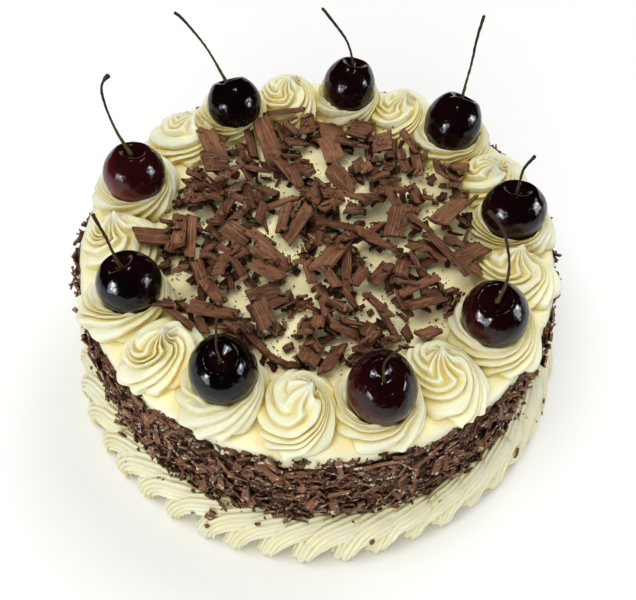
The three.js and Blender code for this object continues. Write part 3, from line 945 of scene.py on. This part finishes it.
def stem_mesh(name, number):
    """A stem that grows from the dimple, bends, and ends in a small woody knob."""
    azimuth, distance, middle, _, height, lean, bend, tip = CHERRIES[number]
    mesh, turn, drop = ball_mesh(name, *STEM_GRID)
    cx, cy = on_ring(azimuth, distance)
    turned = lean_matrix(lean)
    foot, start = [(cx, cy, middle) + turned @ (0, 0, height / 2 - deep) for deep in (5.6, 2.1)]
    a, b, c = foot, start + bend, start + tip
    t = drop
    line = np.outer((1 - t) ** 2, a) + np.outer(2 * t * (1 - t), b) + np.outer(t**2, c)
    ahead = unit(np.outer(2 * (1 - t), b - a) + np.outer(2 * t, c - b))
    side = unit(np.cross(ahead, (0.31, 0.95, 0.02)))
    other = np.cross(ahead, side)
    knob = STEM_KNOBS[number]
    stops = (0, 0.02, 0.07, 0.2, 0.6, 0.88, 0.955, 0.985, 1)
    girth = curve(t, stops, (0, 0.95, 0.8, 0.6, 0.56, 0.66, 0.8 * knob, 0.72 * knob, 0))
    girth = girth * STEM_GIRTHS[number]
    spin = turn * math.tau
    point = line + side * (girth * np.cos(spin))[:, None] + other * (girth * np.sin(spin))[:, None]
    wander = 0.28 * np.sin(t * 9 + number) * np.sin(np.pi * t)
    point += side * wander[:, None]
    rough = ripple(point, 1.8, 600 + number) * 0.06
    point += side * (rough * np.cos(spin))[:, None] + other * (rough * np.sin(spin))[:, None]
    set_points(mesh, point)
    set_values(mesh, "along", t)
    set_values(mesh, "grain", np.stack([2 * np.cos(spin) + 9 * number, 2 * np.sin(spin), t * 40], 1))
    face_outwards(mesh)
    return mesh


# ---- Chocolate


def shape_of(bm):
    """The points and three-cornered faces of a shape that has been modelled."""
    bmesh.ops.triangulate(bm, faces=bm.faces)
    bmesh.ops.recalc_face_normals(bm, faces=bm.faces)
    bm.verts.index_update()
    shape = np.array([v.co[:] for v in bm.verts])
    faces = np.array([[v.index for v in f.verts] for f in bm.faces])
    bm.free()
    return shape, faces


def slab_shape(seed, length, width, thick):
    """A broken slab of chocolate at its real size: flat faces, ragged ends and lightly worn edges."""
    chance = np.random.default_rng(seed)
    bm = bmesh.new()
    bmesh.ops.create_cube(bm, size=1.0)
    bmesh.ops.scale(bm, vec=(length, width, thick), verts=bm.verts)
    for axis, size, cuts in ((0, length, 4), (1, width, 2 if width > 3 else 1)):
        edges = [e for e in bm.edges if abs((e.verts[0].co - e.verts[1].co)[axis]) > size * 0.9]
        bmesh.ops.subdivide_edges(bm, edges=edges, cuts=cuts, use_grid_fill=True)
    taper = chance.uniform(-0.12, 0.12)
    skew = chance.uniform(-0.45, 0.45)
    arch = chance.normal(0, 0.012) * length
    groove = chance.uniform(0.0, 0.14) * thick
    ends = {}
    for v in bm.verts:
        u, w = v.co.x / length, v.co.y / width
        key = (round(u, 3), round(w, 3))
        if key not in ends:
            ends[key] = chance.uniform(-1, 1, 2)
        jag = ends[key]
        v.co.y *= 1 - taper * u * 2
        if abs(u) > 0.49:
            v.co.x += jag[0] * min(0.7, width * 0.13) + skew * v.co.y
        if abs(w) > 0.49:
            v.co.y += jag[1] * min(0.2, width * 0.04)
        v.co.z += arch * (1 - 4 * u * u) - groove * (1 - abs(w) * 2) + chance.uniform(-0.05, 0.05)
    rim = [e for e in bm.edges if len(e.link_faces) == 2 and e.calc_face_angle() > 1.0]
    worn = min(0.22, thick * 0.16)
    bmesh.ops.bevel(bm, geom=rim, offset=worn, affect="EDGES", segments=1, profile=0.5, material=-1)
    return shape_of(bm)


def flake_shape(seed, cuts, taper, arch, ragged):
    """One small flake of unit length, width and thickness: a thin, broken slip of chocolate."""
    chance = np.random.default_rng(seed)
    bm = bmesh.new()
    bmesh.ops.create_cube(bm, size=1.0)
    edges = [e for e in bm.edges if abs((e.verts[0].co - e.verts[1].co).x) > 0.5]
    bmesh.ops.subdivide_edges(bm, edges=edges, cuts=cuts, use_grid_fill=True)
    jags = {}
    for v in bm.verts:
        u = v.co.x
        key = (round(u, 3), v.co.y > 0)
        if key not in jags:
            jags[key] = chance.uniform(-1, 1, 2)
        v.co.y *= 1 - taper * (u + 0.5)
        v.co.y += jags[key][1] * ragged
        if abs(u) > 0.49:
            v.co.x += jags[key][0] * ragged
        v.co.z += arch * (0.25 - u * u) * 4
    return shape_of(bm)


def slip_shapes(seed, cuts, taper, ragged):
    """The kinds of small flake, which differ in how they taper and arch."""
    arches = (-0.3, 0.0, 0.3)
    return [flake_shape(seed + i, cuts, taper * (i % 5), arches[i % 3], ragged) for i in range(SLIPS)]


def crumb_shape(seed):
    """One small broken grain of chocolate of unit size."""
    chance = np.random.default_rng(seed)
    bm = bmesh.new()
    bmesh.ops.create_icosphere(bm, subdivisions=1, radius=0.5)
    for v in bm.verts:
        v.co *= chance.uniform(0.6, 1.3)
    return shape_of(bm)


class Bed:
    """The height of what already lies on top, on a fine square grid, so that a flake rests on it."""

    CELL = 0.5

    def __init__(self, reach, start):
        self.reach = reach
        count = int(2 * reach / self.CELL) + 1
        line = np.linspace(-reach, reach, count)
        self.x, self.y = np.meshgrid(line, line, indexing="ij")
        self.height = start(self.x, self.y)

    def cells(self, x, y):
        """The grid's rows and columns at those places."""
        i = np.clip(np.round((x + self.reach) / self.CELL).astype(int), 0, len(self.height) - 1)
        j = np.clip(np.round((y + self.reach) / self.CELL).astype(int), 0, len(self.height) - 1)
        return i, j

    def rest(self, x, y, length, width, thick, yaw, tip=0.0, steepest=(STEEPEST, STEEPEST)):
        """Lays a flake on the bed's slope, kept to the steepest, and gives its matrix and middle."""
        along = np.array((math.cos(yaw), math.sin(yaw)))
        wide = np.array((-along[1], along[0]))
        lines = [np.arange(-size / 2, size / 2 + 0.1, 0.45) for size in (length, width)]
        u, v = [grid.ravel() for grid in np.meshgrid(*lines)]
        i, j = self.cells(x + u * along[0] + v * wide[0], y + u * along[1] + v * wide[1])
        under = self.height[i, j]
        slopes = [(w * under).sum() / max((w * w).sum(), 1) for w in (u, v)]
        slope_u, slope_v = np.clip(slopes, np.negative(steepest), steepest) + (tip, 0)
        spare = under - (slope_u * u + slope_v * v)
        level = np.quantile(spare, 0.88)
        surface = level + slope_u * u + slope_v * v
        np.maximum.at(self.height, (i, j), surface + thick)
        first = np.array((along[0], along[1], slope_u))
        second = np.array((wide[0], wide[1], slope_v))
        third = unit(np.cross(first, second))
        first = unit(first)
        second = np.cross(third, first)
        matrix = np.stack([first * length, second * width, third * thick], 1)
        return matrix, np.array((x, y, level + thick * 0.5))


def piping_height(x, y):
    """The height of the cake's top and the rosettes on it, for flakes to lean on."""
    height = np.full(x.shape, CAKE_HEIGHT - 0.2)
    for azimuth, *_ in CHERRIES + PLAIN_ROSETTES:
        cx, cy = on_ring(azimuth, RING_RADIUS)
        share = np.hypot(x - cx, y - cy) / MOUND_RADIUS
        mound = CAKE_HEIGHT + MOUND_HEIGHT * np.sqrt(np.clip(1 - share**1.6, 0, 1))
        height = np.where(share < 1, np.maximum(height, mound), height)
    return height


def is_bare(x, y, reach=0.0):
    """Whether a flake of that half length would cover a patch where the cream still shows."""
    return any(math.hypot(x - px, y - py) < size * 1.05 + reach for px, py, size in BARE_PATCHES)


def top_places(count):
    """The flakes and crumbs on top: the larger ones as laid, the rest strewn under and among them."""
    chance = np.random.default_rng(11)
    bed = Bed(104, piping_height)
    slabs, large, small, crumbs = [], [], [], []

    def strewn(reach, half=0.0, strays=0.03):
        while True:
            x, y = chance.uniform(-reach, reach, 2)
            if math.hypot(x, y) > reach or (is_bare(x, y, half) and chance.random() > strays):
                continue
            if piping_height(np.array([x]), np.array([y]))[0] < CAKE_HEIGHT + 1:
                return x, y

    # The small flakes strewn first lie under the slabs; their tones are kept dark as painted shade under
    # the slabs.
    for _ in range(count * 3 // 4):
        length, width = chance.uniform(3, 9), chance.uniform(1.4, 4.2)
        x, y = strewn(BED_RADIUS, length * 0.36)
        thick, yaw = chance.uniform(0.5, 1.1), chance.uniform(0, math.tau)
        matrix, middle = bed.rest(x, y, length, width, thick, yaw)
        small.append((int(chance.integers(SLIPS)), matrix, middle, chance.uniform(0.0, 0.45)))
    for i, (x, y, length, width, yaw) in enumerate(LAID_FLAKES):
        width = width * 1.06
        thick = chance.uniform(1.1, 1.9) if width > 3 else 1.0
        slabs.append(slab_shape(900 + i, length, width, thick))
        steepest = (STEEPEST, STEEPEST)
        if i >= len(LAID_FLAKES) - FLAT_FLAKES:
            steepest = (STEEPEST if x < 0 else FLAT_SLOPE, FLAT_SLOPE)
        tip = chance.normal(0, 0.07)
        y, yaw = y - FLAKE_SHIFT, math.radians(yaw)
        matrix, middle = bed.rest(x, y, length, width, thick, yaw, tip, steepest)
        matrix /= np.linalg.norm(matrix, axis=0)
        large.append((i, matrix, middle, chance.random() ** 1.2))
    for _ in range(count // 6):
        length, width = chance.uniform(1.8, 5), chance.uniform(0.7, 1.8)
        x, y = strewn(BED_RADIUS, 1.0)
        tip = chance.normal(0, 0.14)
        thick, yaw = chance.uniform(0.6, 1.3), chance.uniform(0, math.tau)
        matrix, middle = bed.rest(x, y, length, width, thick, yaw, tip)
        small.append((int(chance.integers(SLIPS)), matrix, middle, chance.uniform(0.1, 1.0)))
    for _ in range(count * 4):
        x, y = strewn(BED_RADIUS + 2, 0.0, 0.4)
        i, j = bed.cells(np.array([x]), np.array([y]))
        if bed.height[i, j][0] > CAKE_HEIGHT + 0.6 and chance.random() < 0.75:
            continue
        size = chance.uniform(0.35, 0.9) * (1 if chance.random() < 0.9 else 1.8)
        matrix, middle = bed.rest(x, y, size * 1.5, size, size * 0.8, chance.uniform(0, math.tau))
        crumbs.append((int(chance.integers(CRUMBS)), matrix, middle, chance.uniform(0.1, 0.9)))
    return slabs, large, small, crumbs


def band_top(azimuth):
    """The height that the side's chocolate reaches at an azimuth in radians."""
    middle, spread, rise = BAND_RISE
    return BAND_TOP + rise * near(np.degrees(azimuth) % 360, middle, spread)


def bareness(points):
    """Higher the more the cream of the side shows through the chocolate."""
    return ripple(points * (1, 1, 2.2), 12, 33, 16) + 0.5 * ripple(points * (1, 1, 1.5), 4, 34, 16)


def side_places(count):
    """The flakes and crumbs pressed into the side, sparser where its cream shows."""
    chance = np.random.default_rng(23)
    bare, packed = 0.42, 0.1
    splinters, crumbs = [], []
    azimuth = chance.uniform(0, math.tau, count)
    z = BAND_BOTTOM + (band_top(azimuth) - BAND_BOTTOM) * (1 - (1 - chance.random(count)) ** 0.9)
    spots = np.stack([CAKE_RADIUS * np.sin(azimuth), CAKE_RADIUS * np.cos(azimuth), z], 1)
    for turn, spot, open_spot in zip(azimuth, spots, bareness(spots)):
        if open_spot > bare and chance.random() < 0.97:
            continue
        big = open_spot < packed and chance.random() < 0.26
        length = chance.uniform(5, 11) if big else chance.gamma(3.0, 1.0) + 1.4
        width = chance.uniform(2.2, 4.6) if big else chance.uniform(0.6, 2.0)
        thick = chance.uniform(0.6, 1.2)
        layer = chance.random()
        spin = chance.uniform(0, math.tau)
        tip = chance.normal(0, 0.32)
        lean = chance.normal(0, 0.45)
        spot[2] = min(spot[2], CAKE_HEIGHT - 1 - 0.5 * length * abs(math.sin(spin)))
        outward = outward_at(turn)
        flat = np.cross(outward, UP)
        first = unit(flat * math.cos(spin) + UP * math.sin(spin) + outward * tip)
        third = unit(outward - first * (outward @ first) + np.cross(first, outward) * lean)
        second = np.cross(third, first)
        over = 0.5 * max(ROPE_LEVEL - spot[2], 0)
        middle = spot + outward * (2.3 * layer + 0.25 * length * abs(tip) - 0.2 + over)
        matrix = np.stack([first * length, second * width, third * thick], 1)
        splinters.append((int(chance.integers(SLIPS)), matrix, middle, 0.3 + 0.85 * chance.random()))
        if chance.random() < 0.8:
            size = chance.uniform(0.5, 1.6)
            angle, axis = chance.uniform(0, 6), Vector(chance.normal(size=3)).normalized()
            turned = Matrix.Rotation(angle, 3, axis)
            middle = spot + flat * chance.normal(0, 2.5) + UP * chance.normal(0, 2.2)
            middle += outward * (chance.uniform(0, 2.4) + over)
            matrix = np.array(turned) * size
            number = int(chance.integers(CRUMBS))
            crumbs.append((number, matrix, middle, 0.1 + 0.9 * chance.random()))
    for azimuth, height, out, length, width, spin in STRAY_FLAKES:
        turn, spin = math.radians(azimuth), math.radians(spin)
        outward = outward_at(turn)
        tip = -0.25 if height < 30 else 0.1
        first = unit(np.cross(UP, outward) * math.cos(spin) + UP * math.sin(spin) + outward * tip)
        third = unit(outward - first * (outward @ first))
        matrix = np.stack([first * length, np.cross(third, first) * width, third * 0.9], 1)
        middle = outward * (out + 0.8) + UP * (height + 0.4)
        piece = (int(chance.integers(CRUMBS)), matrix, middle, chance.uniform(0.0, 0.5))
        (splinters if length > 4.5 else crumbs).append(piece)
    return splinters, crumbs


def side_bed_mesh():
    """The fine chocolate pressed into the side, which sinks under the cream where the cream shows."""
    section = [(98.5, BAND_BOTTOM - 4)]
    section += [(101.5, z) for z in np.linspace(BAND_BOTTOM - 2, BAND_TOP + 2, 62)]
    section.append((96.0, BAND_TOP + 2.0))
    mesh = ring_mesh("side_chocolate", BAND_COLUMNS, section)
    co = read_points(mesh)
    out = np.hypot(co[:, 0], co[:, 1])
    azimuth = np.arctan2(co[:, 0], co[:, 1])
    grit = 0.5 * ripple(co, 2.6, 31) + 0.35 * ripple(co, 1.4, 32, 16)
    edge = np.minimum(co[:, 2] - BAND_BOTTOM, band_top(azimuth) - co[:, 2]) / 3 + 0.7 * ripple(co, 6, 35)
    sunk = 2.2 * step(bareness(co), 0.6, 0.85) + 2.6 * step(-edge, -0.6, 0.4)
    move = np.where(out > 100, grit + 0.4 - sunk, 0)
    co[:, :2] *= (1 + move / out)[:, None]
    set_points(mesh, co)
    set_values(mesh, "grain", co)
    set_values(mesh, "tone", np.clip(0.2 + 0.3 * ripple(co, 2.0, 36), 0, 1))
    return mesh


def place_flakes(finish, pieces):
    """Places pieces of flakes or crumbs. Each is its name, shapes, places and the nodes it stands for."""
    for name, shapes, places, nodes in pieces:
        place_piece(name, joined(name, shapes, places), finish, nodes, smooth=False)


# ---- Settings


class CakeSizes(bpy.types.PropertyGroup):
    """The sizes and counts that a maker would change."""

    rosette_height: FloatProperty(
        name="Rosette height",
        description="Height of a plain rosette's peak",
        default=0.0155,
        unit="LENGTH",
    )
    ridge_depth: FloatProperty(
        name="Ridge depth",
        description="Depth of the grooves between a rosette's ridges",
        default=0.0024,
        unit="LENGTH",
    )
    border_strokes: IntProperty(
        name="Border strokes",
        description="Number of piped strokes round the foot",
        default=46,
        min=20,
        max=70,
    )
    top_flakes: IntProperty(
        name="Strewn flakes",
        description="Number of small flakes strewn on top",
        default=780,
        min=0,
        max=3000,
    )
    side_flakes: IntProperty(
        name="Side flakes",
        description="Number of flakes pressed into the side",
        default=4600,
        min=0,
        max=9000,
    )


def colour_property(name, description, *default):
    """A colour that a maker would change, as red, green and blue."""
    return FloatVectorProperty(
        name=name, description=description, default=default, subtype="COLOR", min=0, max=1
    )


class CakeColours(bpy.types.PropertyGroup):
    """The colours of the cream, the chocolate, the cherries and their stems, and of the painted shade and
    light on them.
    """

    cream: colour_property("Cream", "Main colour of the cream", 0.89, 0.90, 0.70)
    cream_warm: colour_property("Warm cream", "The cream's warmer patches", 0.89, 0.88, 0.63)
    # Painted shade in the rosettes' grooves and hollows.
    cream_painted_shade: colour_property("Cream groove", "Colour in the rosettes' grooves", 0.75, 0.585, 0.10)
    # Painted shade in the rope's grooves, undersides and hollows.
    rope_painted_shade: colour_property("Rope groove", "Colour in the rope's grooves", 0.83, 0.71, 0.24)
    # Painted warm bounce light in the spread cream's hollows.
    coat_painted_hollow_tint: colour_property("Cream hollow", "Spread cream between things", 0.93, 0.85, 0.47)
    coat: colour_property("Coat", "Main colour of the spread cream", 0.82, 0.81, 0.60)
    coat_warm: colour_property("Warm coat", "The spread cream's warmer patches", 0.82, 0.79, 0.54)
    # Painted light: the spread cream among the flakes is painted brighter and warmer.
    coat_painted_light: colour_property("Coat under the flakes", "Cream among the flakes", 1.0, 0.87, 0.51)
    rope: colour_property("Rope cream", "The piped rope", 0.905, 0.875, 0.62)
    chocolate: colour_property("Chocolate", "Main colour of the flakes", 0.23, 0.102, 0.053)
    chocolate_dark: colour_property("Dark chocolate", "The darker flakes", 0.105, 0.042, 0.020)
    chocolate_deep: colour_property("Shadowed chocolate", "Deep between the flakes", 0.022, 0.007, 0.003)
    chocolate_light: colour_property("Scuffed chocolate", "Scuffed faces", 0.39, 0.207, 0.122)
    cherry: colour_property("Cherry", "The cherries' skin", 0.006, 0.0012, 0.0016)
    cherry_dark: colour_property("Dark cherry", "The darkest skin", 0.0018, 0.0007, 0.0010)
    # Painted light: the red painted low on the cherries' left sides, which also gives a little red all
    # over.
    cherry_red_and_painted_light: colour_property("Cherry blush", "The reddest skin", 0.13, 0.011, 0.013)
    stem_foot: colour_property("Stem foot", "The stem near the fruit", 0.085, 0.068, 0.020)
    stem_end: colour_property("Stem end", "The stem's dry end", 0.040, 0.025, 0.016)
    stem_light: colour_property("Stem fibre", "The stem's lighter fibres", 0.17, 0.13, 0.075)


# ---- Operators


class CAKE_OT_cream_coat(bpy.types.Operator):
    """Makes the smooth cream over the cake"""

    bl_idname = "cake.cream_coat"
    bl_label = "Cream Coat"

    def execute(self, context):
        colours = context.scene.cake_colours
        shades = (colours.coat, colours.coat_warm, colours.coat_painted_hollow_tint)
        # The coat gets painted warm bounce light in its hollows and painted light among the flakes.
        finish = cream_finish("spread_cream", *shades, False, deep=0.9, middle=colours.coat_painted_light)
        place_piece("cream_coat", coat_mesh(), finish, ["cake_body"])
        return {"FINISHED"}


class CAKE_OT_base_border(bpy.types.Operator):
    """Makes the piped rope round the foot"""

    bl_idname = "cake.base_border"
    bl_label = "Base Border"

    def execute(self, context):
        colours = context.scene.cake_colours
        shades = (colours.rope, colours.cream, colours.rope_painted_shade)
        # The rope gets painted shade in its grooves, undersides and hollows.
        finish = cream_finish("rope_cream", *shades, True, painted_groove_shade=0.65, deep=0.7, glow=0.1)
        strokes = context.scene.cake_sizes.border_strokes
        right = border_mesh("base_border_right", strokes, 0, strokes // 2)
        place_piece("base_border_right", right, finish, ["base_border"])
        left = border_mesh("base_border_left", strokes, strokes // 2, strokes)
        place_piece("base_border_left", left, finish, [])
        place_piece("base_border_core", border_core_mesh(), finish, [])
        return {"FINISHED"}


class CAKE_OT_rosettes(bpy.types.Operator):
    """Makes the ring of rosettes, plain and for cherries in turn"""

    bl_idname = "cake.rosettes"
    bl_label = "Rosettes"

    def execute(self, context):
        sizes = context.scene.cake_sizes
        colours = context.scene.cake_colours
        shades = (colours.cream, colours.cream_warm, colours.cream_painted_shade)
        # The rosettes get painted shade in their grooves and hollows.
        finish = cream_finish("piped_cream", *shades, True)
        for i in range(PAIRS):
            name = f"plain_rosette_piped_{i + 1}"
            mesh = plain_rosette_mesh(name, i, sizes.rosette_height, sizes.ridge_depth)
            place_piece(name, mesh, finish, [f"plain_rosette_{i + 1}"])
            name = f"cherry_rosette_piped_{i + 1}"
            mesh = cherry_rosette_mesh(name, i, sizes.ridge_depth)
            place_piece(name, mesh, finish, [f"cherry_rosette_{i + 1}"])
        return {"FINISHED"}


class CAKE_OT_cherries(bpy.types.Operator):
    """Makes the nine cherries"""

    bl_idname = "cake.cherries"
    bl_label = "Cherries"

    def execute(self, context):
        finish = cherry_finish("cherry_skin", context.scene.cake_colours)
        for i in range(PAIRS):
            name = f"cherry_fruit_{i + 1}"
            place_piece(name, cherry_mesh(name, i), finish, [f"cherry_{i + 1}"])
        return {"FINISHED"}


class CAKE_OT_stems(bpy.types.Operator):
    """Makes the cherries' stems"""

    bl_idname = "cake.stems"
    bl_label = "Stems"

    def execute(self, context):
        finish = stem_finish("cherry_stem", context.scene.cake_colours)
        for i in range(PAIRS):
            name = f"cherry_stem_{i + 1}"
            place_piece(name, stem_mesh(name, i), finish, [f"stem_{i + 1}"])
        return {"FINISHED"}


class CAKE_OT_top_flakes(bpy.types.Operator):
    """Strews the chocolate flakes and crumbs on top"""

    bl_idname = "cake.top_flakes"
    bl_label = "Top Flakes"

    def execute(self, context):
        finish = chocolate_finish("flaked_chocolate", context.scene.cake_colours)
        slabs, large, small, crumbs = top_places(context.scene.cake_sizes.top_flakes)
        slips = slip_shapes(820, 3, 0.1, 0.10)
        grains = [crumb_shape(840 + i) for i in range(CRUMBS)]
        pieces = (
            ("top_flakes_large", slabs, large, ["top_flakes"]),
            ("top_flakes_small", slips, small, []),
            ("top_flake_crumbs", grains, crumbs, []),
        )
        place_flakes(finish, pieces)
        return {"FINISHED"}


class CAKE_OT_side_flakes(bpy.types.Operator):
    """Presses the chocolate flakes into the side"""

    bl_idname = "cake.side_flakes"
    bl_label = "Side Flakes"

    def execute(self, context):
        finish = chocolate_finish("pressed_chocolate", context.scene.cake_colours, 0.75)
        splinters, crumbs = side_places(context.scene.cake_sizes.side_flakes)
        slips = slip_shapes(860, 2, 0.12, 0.12)
        grains = [crumb_shape(880 + i) for i in range(CRUMBS)]
        place_piece("side_chocolate_bed", side_bed_mesh(), finish, ["side_flakes"])
        pieces = (("side_splinters", slips, splinters, []), ("side_crumbs", grains, crumbs, []))
        place_flakes(finish, pieces)
        return {"FINISHED"}


def area_light(name, place, size, power, colour, serves):
    """A square lamp that serves either the diffuse light or the shine."""
    data = bpy.data.lights.new(name, "AREA")
    data.size = size
    data.energy = power
    data.color = colour
    light = bpy.data.objects.new(name, data)
    light.location = place
    light.rotation_euler = (Vector(AIM) - Vector(place)).to_track_quat("-Z", "Y").to_euler()
    light.visible_diffuse = serves == "diffuse"
    light.visible_glossy = serves == "glossy"
    bpy.context.scene.collection.objects.link(light)


class CAKE_OT_stage(bpy.types.Operator):
    """Makes the floor, the studio light and the camera"""

    bl_idname = "cake.stage"
    bl_label = "Stage"

    def execute(self, context):
        bm = bmesh.new()
        bmesh.ops.create_grid(bm, x_segments=8, y_segments=8, size=3.0)
        mesh = made_mesh(bm, "floor")
        floor = bpy.data.objects.new("floor", mesh)
        context.scene.collection.objects.link(floor)
        finish = Finish("studio_floor")
        finish.set(Base_Color=(0.93, 0.93, 0.93, 1.0), Roughness=0.9)
        mesh.materials.append(finish.material)

        world = bpy.data.worlds.new("studio")
        world.use_nodes = True
        background = world.node_tree.nodes["Background"]
        background.inputs["Color"].default_value = (1.0, 0.995, 0.985, 1.0)
        background.inputs["Strength"].default_value = 0.25
        context.scene.world = world
        world.cycles_visibility.glossy = False
        for name, lamp in LAMPS.items():
            area_light(name, *lamp)

        camera_data = bpy.data.cameras.new("camera")
        camera_data.sensor_width = SENSOR
        camera_data.sensor_fit = "HORIZONTAL"
        camera_data.lens = FOCAL_POINTS * SENSOR / VIEW_POINTS
        camera_data.clip_start = 0.01
        camera = bpy.data.objects.new("camera", camera_data)
        pitch, yaw, roll = CAMERA_TURN
        flat = math.cos(pitch)
        ahead = Vector((math.sin(yaw) * flat, math.cos(yaw) * flat, -math.sin(pitch)))
        level = Vector((math.cos(yaw), -math.sin(yaw), 0))
        above = level.cross(ahead)
        right = math.cos(roll) * level + math.sin(roll) * above
        up = -math.sin(roll) * level + math.cos(roll) * above
        turned = Matrix((right, up, -ahead)).transposed()
        camera.matrix_world = Matrix.Translation(CAMERA_PLACE) @ turned.to_4x4()
        context.scene.collection.objects.link(camera)
        context.scene.camera = camera
        context.scene.view_settings.view_transform = "Standard"
        return {"FINISHED"}


class CAKE_PT_panel(bpy.types.Panel):
    """Lists the cake's sizes, colours and makers"""

    bl_label = "Black Forest Cake"
    bl_idname = "CAKE_PT_panel"
    bl_space_type = "VIEW_3D"
    bl_region_type = "UI"
    bl_category = "Cake"

    def draw(self, context):
        for group in (context.scene.cake_sizes, context.scene.cake_colours):
            for key in group.bl_rna.properties.keys():
                if key not in ("rna_type", "name"):
                    self.layout.prop(group, key)
        for maker in MAKERS:
            self.layout.operator(maker.bl_idname)


MAKERS = (
    CAKE_OT_cream_coat,
    CAKE_OT_base_border,
    CAKE_OT_rosettes,
    CAKE_OT_cherries,
    CAKE_OT_stems,
    CAKE_OT_top_flakes,
    CAKE_OT_side_flakes,
    CAKE_OT_stage,
)
CLASSES = (CakeSizes, CakeColours, CAKE_PT_panel) + MAKERS


def register():
    for cls in CLASSES:
        bpy.utils.register_class(cls)
    bpy.types.Scene.cake_sizes = PointerProperty(type=CakeSizes)
    bpy.types.Scene.cake_colours = PointerProperty(type=CakeColours)


def unregister():
    del bpy.types.Scene.cake_colours
    del bpy.types.Scene.cake_sizes
    for cls in reversed(CLASSES):
        bpy.utils.unregister_class(cls)


def main():
    register()
    bpy.ops.cake.cream_coat()
    bpy.ops.cake.base_border()
    bpy.ops.cake.rosettes()
    bpy.ops.cake.cherries()
    bpy.ops.cake.stems()
    bpy.ops.cake.top_flakes()
    bpy.ops.cake.side_flakes()
    bpy.ops.cake.stage()
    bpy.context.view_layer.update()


if __name__ == "__main__":
    main()
